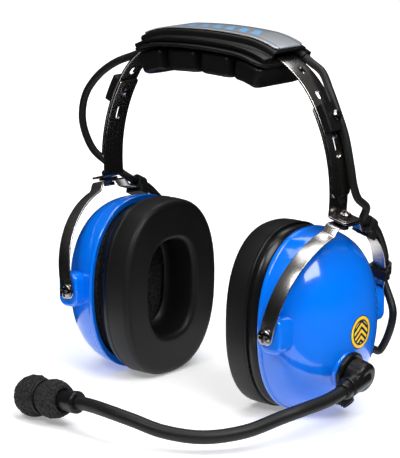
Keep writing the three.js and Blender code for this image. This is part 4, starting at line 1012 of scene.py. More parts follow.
def stirrup(side, sign):
    last = math.acos((STIRRUP_FLAT / 2 + 3) / STIRRUP_HALF_WIDTH)
    t = np.linspace(0, last, 60)
    leg = stacked(STIRRUP_HALF_WIDTH * np.cos(t), STIRRUP_SPRING + STIRRUP_RISE * np.sin(t))
    foot = [(STIRRUP_HALF_WIDTH, -STIRRUP_FOOT)]
    top = [(STIRRUP_FLAT / 2, STIRRUP_HEIGHT)]
    half = np.concatenate([foot, leg, top])
    line = walked(np.concatenate([half, half[::-1] * (-1, 1)]), 0.35, 1.1)
    normal = line_normals(line)
    distance = lengths(line)
    box = rounded_box(STIRRUP_STRAP, STIRRUP_THICKNESS, 0.35)
    section = round_ended(box, distance, distance[-1], STIRRUP_STRAP / 2 - 0.05)
    centre, out = (stacked(0, flat[:, 0], flat[:, 1]) for flat in (line, normal))
    grid = in_stirrup(swept(section, centre, X_AXIS, out))
    strap = surface(f"{side}_stirrup_strap", on_side(grid, sign))
    return fitted(strap, "band_steel", f"{side}_stirrup", f"{side}_stirrup")


stirrups = [stirrup(side, sign) for side, sign in SIDES.items()]
print("stirrups:", [a.name for a in stirrups])

# %% [markdown]
# ## Turned pieces
# Screws, washers, glands, discs and the muff are all turned: a profile of radius and
# height carried round an axis. One function takes any axis, so each is written once.

# %% turning
def basis(direction):
    """Two unit vectors square to a direction and to each other."""
    axis = np.asarray(direction, float) / np.linalg.norm(direction)
    helper = Z_AXIS if abs(axis[2]) < 0.9 else X_AXIS
    first = np.cross(helper, axis)
    first /= np.linalg.norm(first)
    return first, np.cross(axis, first), axis


def turned(profile, at, direction, sides=48):
    """at + radius * (cos v, sin v) + height * axis for each (radius, height)."""
    profile = np.asarray(profile, float)
    first, second, axis = basis(direction)
    v = np.arange(sides) * 2 * math.pi / sides
    ring = np.cos(v)[:, None] * first + np.sin(v)[:, None] * second
    return np.asarray(at) + profile[:, 0, None, None] * ring + profile[:, 1, None, None] * axis


def screw_grid(head_radius, head_height, shank_radius, shank_length, at, direction):
    """A pan head whose top dips by a smooth cross, on a plain shank."""
    v = np.arange(144) * 2 * math.pi / 144
    share = np.linspace(0, 1, 48)[:, None]
    dome = head_height * np.sqrt(1 - 0.75 * share**2)
    x, y = np.abs(share * np.cos(v) * head_radius), np.abs(share * np.sin(v) * head_radius)
    arm = head_radius * 0.13
    bar = np.minimum(x, y)
    reach = np.maximum(x, y)
    inside = 1 / (1 + np.exp((bar - arm) / (0.025 * head_radius)))
    inside = inside / (1 + np.exp((reach - head_radius * 0.62) / (0.03 * head_radius)))
    height = dome - inside * head_height * 0.7
    rim = np.array([[head_radius, head_height * 0.2], [head_radius * 0.98, 0.0]])
    shank = np.array([[shank_radius, 0.0], [shank_radius, -shank_length], [0.0, -shank_length]])
    lower = np.concatenate([rim, shank])
    radius = np.concatenate([share * head_radius * np.ones_like(v), lower[:, :1] * np.ones_like(v)])
    height = np.concatenate([height, lower[:, 1:] * np.ones_like(v)])
    first, second, axis = basis(direction)
    ring = np.cos(v)[:, None] * first + np.sin(v)[:, None] * second
    return np.asarray(at) + radius[..., None] * ring + height[..., None] * axis


# %% screws of the stirrups and swivels
PIVOT_HEAD = (4.2, 2.6, 1.6, 7)
SWIVEL_HEAD = (3.4, 3.4, 1.6)


def side_screws(side, sign):
    head_at = STIRRUP_HALF_WIDTH + STIRRUP_THICKNESS / 2 + GAP
    made = []
    for place, way in (("front", -1), ("rear", 1)):
        at = (sign * PIVOT_HALF_SPAN, way * head_at, 0)
        grid = screw_grid(*PIVOT_HEAD, at, (0, way, 0))
        screw = surface(f"{side}_pivot_bolt_{place}", grid, caps=False, crease=50)
        made.append(fitted(screw, "dark_steel", f"{side}_cup", f"{side}_pivot_screw_{place}"))
    low = STIRRUP_HEIGHT - STIRRUP_THICKNESS / 2 - 2.4
    head = FLANGE_MIDDLE + STRAP_THICKNESS / 2 + GAP
    at = on_side(in_stirrup((0, 0, head)), sign)
    up = on_side((math.sin(STIRRUP_LEAN), 0, math.cos(STIRRUP_LEAN)), sign)
    grid = screw_grid(*SWIVEL_HEAD, head - low, at, up)
    bolt = surface(f"{side}_swivel_bolt", grid, caps=False, crease=50)
    made.append(fitted(bolt, "dark_steel", f"{side}_arm", f"{side}_swivel_screw"))
    return made


screws = [screw for side, sign in SIDES.items() for screw in side_screws(side, sign)]
print("screws:", len(screws))

# %% [markdown]
# ## Ear cups
# A cup's outline is a superellipse, a curve between an ellipse and a box. Its section
# rises steeply from the rim and rounds over to a blunt nose, which is the same formula
# with other powers. Outer skin, rim and inner skin are one closed surface.

# %% shell formula
CUP_HALF_WIDTH = 42
CUP_HALF_HEIGHT = 51
CUP_RIM = -12
CUP_APEX = 25
CUP_WALL = 2.6
SECTION_POWER = 2.25
SIDE_POWER = 2.6
NOSE_POWER = 2.05
CUP_DEPTH = CUP_APEX - CUP_RIM


def oval(a, b, power, t):
    """A point of |y/a|^n + |z/b|^n = 1 at angle t, and the outward normal there."""
    y = a * signed_power(np.cos(t), 2 / power)
    z = b * signed_power(np.sin(t), 2 / power)
    ny = signed_power(np.cos(t), 2 - 2 / power) / a
    nz = signed_power(np.sin(t), 2 - 2 / power) / b
    size = np.hypot(ny, nz)
    return stacked(y, z), stacked(ny / size, nz / size)


def dome_rows(depth, levels):
    """The oval shrinks by cos^(2/n) of the level while x grows by sin^(2/m) of it."""
    scale = np.cos(levels) ** (2 / NOSE_POWER)
    scale[levels >= math.pi / 2 - 1e-9] = 0
    return scale, depth * np.sin(levels) ** (2 / SIDE_POWER)


def even_angles(a, b, power, count):
    """Angles at which points are evenly spaced round the oval."""
    fine = np.linspace(0, 2 * math.pi, 4001)
    line, _ = oval(a, b, power, fine)
    reach = lengths(line)
    return np.interp(np.arange(count) * reach[-1] / count, reach, fine)


def in_cup(out, flat):
    """A cup's frame to the headset: out of its rim's plane, and flat (y, z) in it."""
    return stacked(PIVOT_HALF_SPAN + out, flat[..., 0], flat[..., 1] - CUP_DROP)


def cup_shell(side, sign):
    angles = even_angles(CUP_HALF_WIDTH, CUP_HALF_HEIGHT, SECTION_POWER, 160)
    outline, normal = oval(CUP_HALF_WIDTH, CUP_HALF_HEIGHT, SECTION_POWER, angles)
    levels = (np.linspace(0, 1, 64) ** 1.25) * math.pi / 2
    scale, x = dome_rows(CUP_DEPTH, levels)
    lip = np.array([(1, 0, 0.35), (1, 0.25, 0.6), (1, 2.2, 0.6), (1, 2.75, 0.4), (0.9985, 3.0, 0.05)])
    above = x > 3.2
    rows = np.concatenate([lip, stacked(scale[above], x[above], 0 * x[above])])
    inner_scale, inner_x = dome_rows(CUP_DEPTH - CUP_WALL, levels[::-2])
    shrink = (CUP_HALF_WIDTH - CUP_WALL) / CUP_HALF_WIDTH
    rows = np.concatenate([rows, stacked(inner_scale * shrink, inner_x, 0 * inner_x)])
    flat = rows[:, 0, None, None] * outline + rows[:, 2, None, None] * normal
    grid = in_cup(CUP_RIM + rows[:, 1, None], flat)
    shell = surface(f"{side}_cup_dome", on_side(grid, sign), along=True, caps=False, crease=50)
    return fitted(shell, "shell_blue", f"{side}_cup", f"{side}_cup_shell")


shells = [cup_shell(side, sign) for side, sign in SIDES.items()]
print("shell faces:", len(shells[0].data.polygons))

# %% [markdown]
# ## Lugs and boom boss
# Rounded blocks stand out of each shell where the stirrup's feet bear on it. They are
# sunk into the dome, so a clean crease shows where they meet it, as it does on a mould
# with an insert. The left cup has a round boss for the boom too.

# %% lugs
LUG_WIDTH = 14
LUG_HEIGHT = 20
LUG_OUT = 1.5
LUG_ROOT = 30
LUG_CORNER = 5
LUG_EDGE = 1.6
LUG_FACE = STIRRUP_HALF_WIDTH - STIRRUP_THICKNESS / 2 - 0.9


def lug(side, sign, place, way):
    turn = np.linspace(0, math.pi / 2, 7)
    depth = np.concatenate([[LUG_ROOT], LUG_FACE - LUG_EDGE + LUG_EDGE * np.sin(turn)])
    inset = np.concatenate([[0], LUG_EDGE * (1 - np.cos(turn))])
    outline = rounded_box(LUG_WIDTH, LUG_HEIGHT, LUG_CORNER, 9)
    share = 1 - inset[:, None, None] / (np.array([LUG_WIDTH, LUG_HEIGHT]) / 2)
    flat = outline[None] * share
    grid = stacked(PIVOT_HALF_SPAN + LUG_OUT + flat[..., 0], way * depth[:, None], flat[..., 1])
    block = surface(f"{side}_cup_lug_{place}", on_side(grid, sign), crease=60)
    return fitted(block, "shell_blue", f"{side}_cup")


lugs = [
    lug(side, sign, place, way)
    for side, sign in SIDES.items()
    for place, way in (("a", -1), ("b", 1))
]
print("lugs:", len(lugs))

# %% [markdown]
# ## Ear seals
# A seal is a padded vinyl ring. Its outside follows one oval and its opening another, so
# each row runs from one to the other: flat face, rolled edges, sides, a welt at the seam
# and a narrower back that draws in towards the seal's plate.

# %% seal formula
SEAL_DEPTH = 22.5
SEAL_HALF = (40.5, 52, 2.35)
OPENING_HALF = (20, 28.5, 2.6)
SEAL_ROUND = 3.5
SEAL_SEAM = 15.5
WALL_BULGE = 0.25
WELT_RADIUS = 0.75
WELT_PROUD = 0.65
WELT_SUNK = 0.4  # the welt starts this far below the wall
SEAL_BACK = CUP_RIM - 2.2 - 0.7
SEAL_FACE = SEAL_BACK - SEAL_DEPTH


def seal_section():
    """Rows of (share towards the opening, inset into the foam, depth from the face)."""
    turn = np.linspace(0, math.pi / 2, 9)
    falling, rising = SEAL_ROUND * (1 - np.sin(turn)), SEAL_ROUND * (1 - np.cos(turn))
    face_share = np.linspace(1, 0, 18)[1:-1]
    wall_depth = np.linspace(SEAL_ROUND, SEAL_SEAM - 0.8, 8)[1:]
    along_wall = (wall_depth - SEAL_ROUND) / (SEAL_SEAM - SEAL_ROUND)
    welt = np.linspace(0, math.pi, 7)
    drop = np.linspace(0, 1, 12)
    tuck = 1.3 + 2.4 * drop**1.6 - 0.9 * np.sin(math.pi * drop)
    rear_share = np.linspace(0, 1, 6)[1:]
    return np.concatenate([
        stacked(0, falling, rising),
        stacked(0, -WALL_BULGE * np.sin(math.pi * along_wall), wall_depth),
        stacked(0, WELT_SUNK - WELT_PROUD * np.sin(welt), SEAL_SEAM - WELT_RADIUS * np.cos(welt)),
        stacked(0, tuck, np.linspace(SEAL_SEAM + 0.9, SEAL_DEPTH, 12)),
        stacked(rear_share, 3.6 - 5.6 * rear_share, SEAL_DEPTH),
        stacked(1, 0, np.linspace(SEAL_DEPTH - 2, SEAL_ROUND, 8)),
        stacked(1, rising, falling)[1:],
        stacked(face_share, SEAL_ROUND, 0),
    ])


def ear_seal(side, sign):
    count = 220
    angles = even_angles(*SEAL_HALF, count)
    outer, outer_normal = oval(*SEAL_HALF, angles)
    hole, hole_normal = oval(*OPENING_HALF, angles)
    section = seal_section()
    share, inset, depth = (section[:, k][None, :, None] for k in range(3))
    from_outside = outer[:, None] - inset * outer_normal[:, None]
    from_opening = hole[:, None] + inset * hole_normal[:, None]
    flat = (1 - share) * from_outside + share * from_opening
    grid = in_cup(SEAL_FACE + depth[..., 0], flat)
    seal = surface(f"{side}_seal_ring", on_side(grid, sign), along=True, crease=70)
    fitted(seal, "seal_vinyl", f"{side}_cup", f"{side}_ear_seal")
    return seal


seals = [ear_seal(side, sign) for side, sign in SIDES.items()]
print("seal faces:", len(seals[0].data.polygons))

# %% [markdown]
# ## Inside the cup
# Looking into the opening one sees the foam liner over the speaker. It is a thin cushion
# with a crowned face and rolled edge.

# %% liner
LINER_FACE = CUP_RIM + 1
LINER_THICKNESS = 7
LINER_INSET = CUP_WALL + 3


def liner(side, sign):
    half = (CUP_HALF_WIDTH - LINER_INSET, CUP_HALF_HEIGHT - LINER_INSET, SECTION_POWER)
    outline, _ = oval(*half, even_angles(*half, 120))
    turn = np.linspace(0, math.pi / 2, 8)
    middle = np.linspace(0, 0.94, 18)
    edge = 0.94 + 0.06 * np.sin(turn)
    scale = np.concatenate([middle, edge[1:], [1, 0.98, 0.0]])
    front = 1.2 * (middle / 0.94) ** 4 * 0.4
    roll = 0.48 + 2.0 * (1 - np.cos(turn[1:]))
    depth = np.concatenate([front, roll, [LINER_THICKNESS - 0.6, LINER_THICKNESS, LINER_THICKNESS]])
    flat = scale[:, None, None] * outline
    grid = in_cup(LINER_FACE + depth[:, None], flat)
    foam_piece = surface(f"{side}_liner_pad", on_side(grid, sign), caps=False, crease=70)
    fitted(foam_piece, "inner_foam", f"{side}_cup", f"{side}_liner_foam")
    return foam_piece


liners = [liner(side, sign) for side, sign in SIDES.items()]
print("liners:", len(liners))

# %% [markdown]
# ## Lead
# The lead leaves the pad at both ends, passes down behind each arm, is held by two
# clips on the stirrup's rear leg and goes into the cup. Its route is one smooth curve
# through given points. The curve is cut where the lead passes from one moving body to
# the next.

# %% smooth lines
def smooth_line(points, share):
    """Centripetal Catmull-Rom: a cubic through four neighbours, knots spaced by root distance."""
    points = np.asarray(points, float)
    ends = np.concatenate([[2 * points[0] - points[1]], points, [2 * points[-1] - points[-2]]])
    place = np.clip(np.asarray(share) * (len(points) - 1), 0, len(points) - 1 - 1e-9)
    number = place.astype(int)
    u = place - number
    p0, p1, p2, p3 = (ends[number + k] for k in range(4))
    spans = ((p0, p1), (p1, p2), (p2, p3))
    d0, d1, d2 = (np.sqrt(np.linalg.norm(b - a, axis=1))[:, None] for a, b in spans)
    m1 = ((p1 - p0) / d0 - (p2 - p0) / (d0 + d1) + (p2 - p1) / d1) * d1
    m2 = ((p2 - p1) / d1 - (p3 - p1) / (d1 + d2) + (p3 - p2) / d2) * d1
    u = u[:, None]
    return (
        (2 * u**3 - 3 * u**2 + 1) * p1
        + (u**3 - 2 * u**2 + u) * m1
        + (3 * u**2 - 2 * u**3) * p2
        + (u**3 - u**2) * m2
    )


def tube(name, line, radius, sides=18):
    """A ring of `radius` at each point, its spokes carried along without twisting."""
    tangent = unit(np.gradient(line, axis=0))
    spoke = np.zeros_like(line)
    spoke[0] = basis(tangent[0])[0]
    for number in range(1, len(line)):  # each spoke is the last one, made square again
        turned_on = spoke[number - 1] - (spoke[number - 1] @ tangent[number]) * tangent[number]
        spoke[number] = turned_on / np.linalg.norm(turned_on)
    ring = circle(1, sides)[None] * np.broadcast_to(radius, len(line))[:, None, None]
    return surface(name, swept(ring, line, spoke, np.cross(tangent, spoke)), crease=50)


# %% where the lead is held
LEAD_RADIUS = 2.25
CLIP_LENGTH = 6.5
CLIP_HEIGHT = 4.6
UPPER_CLIP = math.radians(62)
LOWER_CLIP = math.radians(17)
TOP_LEAD_OFFSET = 10.8
TOP_LEAD_HEIGHT = 1.8
LEAD_EXIT = COVER_HALF + 3
GLAND_LENGTH = 7
LEAD_ON_BAND = np.array([(68, 9.4, 3.9), (58, 6.6, 3.8), (46, 5.4, 3.5), (32, 5.4, 3.5), (16, 5.4, 3.5)])
UPPER_LEAD = {
    "left": np.concatenate([
        on_band(BAND_HALF - LEAD_ON_BAND[:, 0], LEAD_ON_BAND[:, 1], LEAD_ON_BAND[:, 2]),
        [(87.8, 6.2, 76)],
    ]),
    "right": np.array([
        (-72, 8, 131.5), (-85, 5, 126), (-98, 4, 117), (-108, 4, 105), (-112, 5, 92), (-111, 6, 82),
    ]),
}
MIDDLE_LEAD = {
    "left": np.array([(88.6, 9.5, 68), (90, 15.5, 62.5)]),
    "right": np.array([(-106, 8, 71), (-99, 11, 64.5)]),
}
PAST_PIVOT = (PIVOT_HALF_SPAN + 13, 50, -6)


def clip_hold(angle, rear):
    """The lead's middle in a clip at an angle up the rear leg, and the way it runs."""
    y = STIRRUP_HALF_WIDTH * math.cos(angle)
    z = STIRRUP_SPRING + STIRRUP_RISE * math.sin(angle)
    tangent = np.array([0, -STIRRUP_HALF_WIDTH * math.sin(angle) * rear, STIRRUP_RISE * math.cos(angle)])
    tangent = unit(tangent)
    normal = -rear * np.cross(X_AXIS, tangent)
    at = in_stirrup(np.array([0, rear * y, z]) + normal * CLIP_HEIGHT)
    return at, in_stirrup(tangent) - in_stirrup((0, 0, 0))


def shell_point(angle, out):
    """A point of the shell at an angle round it and a distance out, and the normal there."""
    u = (out - CUP_RIM) / CUP_DEPTH
    scale = (1 - u**SIDE_POWER) ** (1 / NOSE_POWER)
    flat, normal = oval(CUP_HALF_WIDTH, CUP_HALF_HEIGHT, SECTION_POWER, angle)
    steep = NOSE_POWER * scale ** (NOSE_POWER - 1) / (flat * normal).sum(axis=-1)
    x_part = SIDE_POWER * u ** (SIDE_POWER - 1) / CUP_DEPTH * np.ones_like(flat[..., 0])
    away = stacked(x_part, steep * normal[..., 0], steep * normal[..., 1])
    away = unit(away)
    x = (PIVOT_HALF_SPAN + out) * np.ones_like(flat[..., 0])
    scaled = scale[..., None] * flat if np.ndim(scale) else scale * flat
    return stacked(x, scaled[..., 0], scaled[..., 1] - CUP_DROP), away


def gland_spot(sign):
    """Where the lead goes into the cup, low on the rear of the shell."""
    return shell_point(math.atan2(-0.42, 0.9 * sign), 2)


# %% lead stretches
def lead_route(side, sign):
    exits = on_band(sign * np.array([LEAD_EXIT + 0.7, LEAD_EXIT + 5]), np.full(2, TOP_LEAD_OFFSET),
                    np.full(2, TOP_LEAD_HEIGHT))
    steps = np.array([1.3, 0.65, 0, -0.65, -1.3])[:, None] * CLIP_LENGTH
    (top_at, top_way), (low_at, low_way) = clip_hold(UPPER_CLIP, sign), clip_hold(LOWER_CLIP, sign)
    middle_at, _ = clip_hold((UPPER_CLIP + LOWER_CLIP) / 2, sign)
    gland_at, gland_out = gland_spot(sign)
    into = gland_at + (GLAND_LENGTH + np.array([5, 1, -4, -9]))[:, None] * gland_out
    before = np.concatenate([exits, UPPER_LEAD[side], MIDDLE_LEAD[side]])
    held = np.concatenate([
        top_at + steps * top_way,
        [middle_at],
        low_at + steps * low_way,
        [np.array(PAST_PIVOT) * (1, sign, 1)],
        into,
    ])
    points = np.concatenate([before, on_side(held, sign)])
    first = len(exits) + len(UPPER_LEAD[side]) - 1
    return points, (0, first, len(before) + 2, len(points) - 1)


def lead_stretch(side, place, points, split):
    """The route between two of its points."""
    count = int(12 * (split[1] - split[0])) + 2
    share = np.linspace(*split, count) / (len(points) - 1)
    lead = tube(f"{side}_lead_{place}_run", smooth_line(points, share), LEAD_RADIUS)
    fitted(lead, "lead_rubber", None, f"{side}_lead_{place}")
    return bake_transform(lead)


def side_lead(side, sign):
    points, splits = lead_route(side, sign)
    return [
        lead_stretch(side, place, points, splits[k : k + 2])
        for k, place in enumerate(("upper", "middle", "lower"))
    ]


leads = [stretch for side, sign in SIDES.items() for stretch in side_lead(side, sign)]


def lead_top():
    s = np.linspace(-LEAD_EXIT, LEAD_EXIT, 120)
    line = on_band(s, np.full(len(s), TOP_LEAD_OFFSET), np.full(len(s), TOP_LEAD_HEIGHT))
    lead = tube("lead_under_cover", line, LEAD_RADIUS)
    return fitted(lead, "lead_rubber", "headband", "lead_top")


leads.append(lead_top())
print("lead stretches:", len(leads))

# %% [markdown]
# ## Glands
# A gland is a rubber sleeve with a flange outside the wall and ribs that let it bend.

# %% glands
def gland(name, radius, length, at, direction, body, node):
    hole = LEAD_RADIUS + PLAY
    rib_at = np.linspace(2.4, length - 0.6, 40)
    taper = radius - 1.2 * (rib_at - 2.4) / (length - 2.4)
    ribs_profile = stacked(taper + 0.28 * np.cos(2 * math.pi * rib_at / 1.4), rib_at)
    profile = np.concatenate([
        [(hole, -3), (radius - 0.8, -3), (radius - 0.8, 0.4), (radius + 1, 0.6), (radius + 1, 1.6)],
        ribs_profile,
        [(radius - 1.5, length), (hole, length), (hole, -3)],
    ])
    sleeve = surface(name, turned(profile, at, direction), caps=False, crease=45)
    return fitted(sleeve, "lead_rubber", body, node)


def lead_gland(side, sign):
    at, out = (on_side(part, sign) for part in gland_spot(sign))
    name, node = f"{side}_lead_sleeve", f"{side}_lead_gland"
    return gland(name, GLAND_RADIUS, GLAND_LENGTH, at, out, f"{side}_cup", node)


GLAND_RADIUS = 4.2
MAIN_GLAND = (4.8, 6)  # its radius and length
glands = [lead_gland(side, sign) for side, sign in SIDES.items()]
main_at, main_out = shell_point(-math.pi / 2 + 0.1, 12)
glands.append(gland("main_lead_sleeve", *MAIN_GLAND, main_at, main_out, "left_cup", "main_lead_gland"))
print("glands:", len(glands))

# %% [markdown]
# ## Boom
# A disc on the left cup carries an elbow that turns on it. The elbow is a puck and a
# barrel grown together, so both are made closed and fused by a fine voxel skin, which
# leaves a small fillet between them. The gooseneck is one smooth tube.

# %% swivel disc, elbow and collar
SWIVEL_AT = np.array([PIVOT_HALF_SPAN + 22.6, -5.6, -24.2])
SWIVEL_TILT = math.radians(12)
SWIVEL_AXIS = np.array([math.cos(SWIVEL_TILT), 0, -math.sin(SWIVEL_TILT)])
DISC_RADIUS = 10.8
DISC_THICKNESS = 2.5
HOUSING_RADIUS = 8.6
HOUSING_DEPTH = 10.5
BARREL_RADIUS = 5.9
BARREL_FROM = np.array([104.3, -4, -26.2])
BOOM_RADIUS = 3.7
BOOM_LINE = np.array([
    (104, -9.5, -27.7), (103.5, -17, -29.8), (103.05, -24.2, -31.8), (102, -34, -33.6),
    (98, -52.5, -35.6), (94, -62, -37.6), (86, -83.5, -41.8), (72, -101, -43.5),
    (54, -112, -41.5), (38, -116.5, -38), (23, -118, -36.2), (10, -116.6, -36.2),
    (2, -115.35, -36.75), (-3, -114.9, -37.2),
])


def swivel_disc():
    profile = [(0, -6), (2.6, -6), (2.6, 0), (DISC_RADIUS, 0), (DISC_RADIUS, DISC_THICKNESS - 0.7),
               (DISC_RADIUS - 0.7, DISC_THICKNESS), (8.9, DISC_THICKNESS), (0, DISC_THICKNESS)]
    disc = surface("swivel_plate", turned(profile, SWIVEL_AT, SWIVEL_AXIS, 72), caps=False)
    return fitted(eased(disc, 0.25), "black_plastic", "left_cup", "boom_swivel_disc")


def swivel_boss():
    profile = [(0, -10), (11.3, -10), (11.3, -1.1), (10.9, -0.45), (10.2, -GAP), (0, -GAP)]
    boss = surface("left_cup_boom_boss", turned(profile, SWIVEL_AT, SWIVEL_AXIS, 72), caps=False)
    return fitted(eased(boss, 0.2), "shell_blue", "left_cup")


def boom_elbow():
    low = DISC_THICKNESS + GAP
    top = low + HOUSING_DEPTH
    turn = np.linspace(0, math.pi / 2, 8)
    edge = stacked(HOUSING_RADIUS - 3 + 3 * np.cos(turn), top - 3 + 3 * np.sin(turn))
    puck_profile = np.concatenate([[(0, low), (HOUSING_RADIUS, low)], edge, [(0, top)]])
    puck = surface("boom_elbow_body", turned(puck_profile, SWIVEL_AT, SWIVEL_AXIS, 64), caps=False)
    along = BOOM_LINE[1] - BARREL_FROM
    length = np.linalg.norm(along)
    nose = stacked(BARREL_RADIUS * np.sin(turn), -BARREL_RADIUS * 0.5 * np.cos(turn))
    mouth = [(BARREL_RADIUS, length), (BOOM_RADIUS + 0.2, length), (0, length)]
    barrel_profile = np.concatenate([nose, mouth])
    barrel = surface("barrel", turned(barrel_profile, BARREL_FROM, along, 64), caps=False)
    ribs_made = []
    for number, (offset, radius) in enumerate(((-2.6, 1.1), (2.6, 1.1))):
        start = SWIVEL_AT + SWIVEL_AXIS * (top - 0.9) + np.array([0, 5.2, offset + 1.6])
        finish = BARREL_FROM + along * 0.75 + np.array([4.6, 0, offset * 1.1 + 1.8])
        line = start + np.linspace(0, 1, 30)[:, None] * (finish - start)
        width = radius * np.sqrt(np.sin(np.linspace(0.06, math.pi - 0.06, 30)))
        ribs_made.append(tube(f"grip_{number}", line, width))
    for other in [barrel, *ribs_made]:
        work = bmesh.new()
        work.from_mesh(puck.data)
        work.from_mesh(other.data)
        work.to_mesh(puck.data)
        work.free()
        bpy.data.objects.remove(other)
    skin = puck.modifiers.new("skin", "REMESH")
    skin.mode = "VOXEL"
    skin.voxel_size = 0.42 * MM
    relax = puck.modifiers.new("relax", "SMOOTH")
    relax.iterations = 5
    relax.factor = 0.5
    bpy.context.view_layer.update()
    applied(puck)
    puck.data.shade_smooth()
    return fitted(puck, "black_plastic", "boom", "boom_elbow")


def boom_collar():
    along = BOOM_LINE[1] - BARREL_FROM
    bore = BOOM_RADIUS + PLAY
    profile = [(bore, 0), (5.3, 0), (5.3, 3.4), (4.5, 4.5), (bore, 4.5), (bore, 0)]
    at = BOOM_LINE[1] + GAP * along / np.linalg.norm(along)
    ring = surface("boom_collar_ring", turned(profile, at, along, 64), caps=False)
    return fitted(eased(ring, 0.25), "black_plastic", "boom", "boom_collar")


boom_pieces = [swivel_disc(), swivel_boss(), boom_elbow(), boom_collar()]
print("elbow faces:", len(boom_pieces[2].data.polygons))

# %% gooseneck
def gooseneck():
    line = smooth_line(BOOM_LINE, np.linspace(0, 1, 260))
    neck = tube("gooseneck_tube", line, BOOM_RADIUS, 32)
    return fitted(neck, "lead_rubber", "boom", "boom_gooseneck")


boom_pieces.append(gooseneck())
print("gooseneck made")

# %% [markdown]
# ## Microphone
# The muff is a foam sock with two lobes and a ring in its waist. Its skin is pitted, so
# the silhouette is uneven: the turned profile is pushed in and out by a sum of waves
# whose directions are drawn once from a seeded generator.

# %% holder, muff and ring
MIC_AT = BOOM_LINE[-1]
MIC_WAY = np.array([-0.985, 0.09, -0.12])
MIC_WAY = MIC_WAY / np.linalg.norm(MIC_WAY)
HOLDER_RADIUS = 5.6
HOLDER_LENGTH = 22
CAPSULE_LENGTH = 7
BALL_RADIUS = 11.6
NECK_RADIUS = 10.8
WAIST_RADIUS = 8.2
MUFF_BORE = 6.1
MUFF_START = 12
MUFF_WAIST = MUFF_START + 16.5
BALL_MIDDLE = MUFF_WAIST + math.sqrt(BALL_RADIUS**2 - WAIST_RADIUS**2)
BORE_END = HOLDER_LENGTH + CAPSULE_LENGTH + 3


def waves(points, length, count, seed):
    """The mean of `count` sine waves of about one wavelength in seeded directions."""
    chance = np.random.default_rng(seed)
    ways = unit(chance.normal(size=(count, 3)))
    ways *= 2 * math.pi / (length * chance.uniform(0.7, 1.4, (count, 1)))
    phase = chance.uniform(0, 2 * math.pi, count)
    return np.sin(points @ ways.T + phase).mean(axis=-1) * math.sqrt(count)


def mic_muff():
    t = np.linspace(-0.9, 1, 26)
    neck = stacked(NECK_RADIUS * np.cos(t * 0.62), MUFF_START + 8.5 + 6.6 * t)
    first = -math.acos(WAIST_RADIUS / BALL_RADIUS)
    u = np.linspace(first, math.pi / 2, 60)[1:]
    ball = stacked(BALL_RADIUS * np.cos(u), BALL_MIDDLE + BALL_RADIUS * np.sin(u))
    ball[-1, 0] = 0
    profile = np.concatenate([
        [(MUFF_BORE, MUFF_START + 0.5), (NECK_RADIUS - 3.6, MUFF_START + 0.3)],
        [(NECK_RADIUS - 2.2, MUFF_START + 0.9)],
        neck,
        [(WAIST_RADIUS, MUFF_WAIST)],
        ball,
        [(0, BORE_END), (MUFF_BORE, BORE_END), (MUFF_BORE, MUFF_START + 0.5)],
    ])
    grid = turned(profile, MIC_AT, MIC_WAY, 130)
    _, _, axis = basis(MIC_WAY)
    away = grid - (MIC_AT + axis * BALL_MIDDLE)
    away /= np.maximum(np.linalg.norm(away, axis=-1, keepdims=True), 1e-6)
    rough = 0.16 * waves(grid, 2.2, 24, 7) + 0.12 * waves(grid, 5, 16, 8)
    skin = np.zeros(len(profile))
    skin[3:-4] = 1
    muff = surface("muff_sock", grid + away * (rough * skin[:, None])[..., None], caps=False, crease=80)
    fitted(muff, "muff_foam", "boom", "mic_muff")
    return muff


def mic_holder():
    profile = [(0, GAP), (HOLDER_RADIUS, GAP), (HOLDER_RADIUS + 0.6, 1.2), (HOLDER_RADIUS + 0.6, 4),
               (HOLDER_RADIUS, 4.6), (HOLDER_RADIUS, HOLDER_LENGTH), (0, HOLDER_LENGTH)]
    holder = surface("mic_sleeve", turned(profile, MIC_AT, MIC_WAY, 64), caps=False)
    return fitted(eased(holder, 0.25), "black_plastic", "boom", "mic_holder")


def muff_ring():
    turn = np.arange(16) * 2 * math.pi / 16
    radius = 0.75
    middle = WAIST_RADIUS + FIT + radius
    profile = stacked(middle + radius * np.cos(turn), MUFF_WAIST + radius * np.sin(turn))
    ring = surface("muff_band", turned(profile, MIC_AT, MIC_WAY, 72), along=True)
    return fitted(ring, "lead_rubber", "boom", "muff_ring")


boom_pieces += [mic_holder(), mic_muff(), muff_ring()]
print("microphone made")

# %% [markdown]
# ## Badge
# A small generic badge is printed on the left cup's outer face: a ring with chevrons in
# it. It is a patch of the shell's own surface, lifted a little. Its pattern is drawn by
# y and z from the badge's middle.

# %% badge
BADGE_AT = (0.06, -0.05)  # where its middle is, as shares of the cup's half sizes
BADGE_RADIUS = 9.5
BADGE_LIFT = 0.06


def badge_finish():
    tree = Tree("badge_print")
    middle = placed((0, BADGE_AT[0] * CUP_HALF_WIDTH, BADGE_AT[1] * CUP_HALF_HEIGHT - CUP_DROP))
    share = 1 / (2 * BADGE_RADIUS * MM)
    across = (tree.part(tree.place(), 1) - middle[1]) * share
    up = (tree.part(tree.place(), 2) - middle[2]) * share
    square = across * across + up * up
    radius = square.math("SQRT", square)
    chevron = (up + abs(across) * 0.8) * 5.2
    bars = (chevron.math("FRACT", chevron) < 0.52) * (radius < 0.33)
    ring = (radius > 0.38) * (radius < 0.47)
    shown = bars.math("MAXIMUM", bars, ring)
    base = tree.mixed(shown, color(0.004, 0.016, 0.06), color(0.93, 0.60, 0.01))
    return tree.finish(
        {"Coat Weight": 0.6, "Coat Roughness": 0.05},
        {"Base Color": base, "Roughness": 0.2 + shown * 0.05},
    )


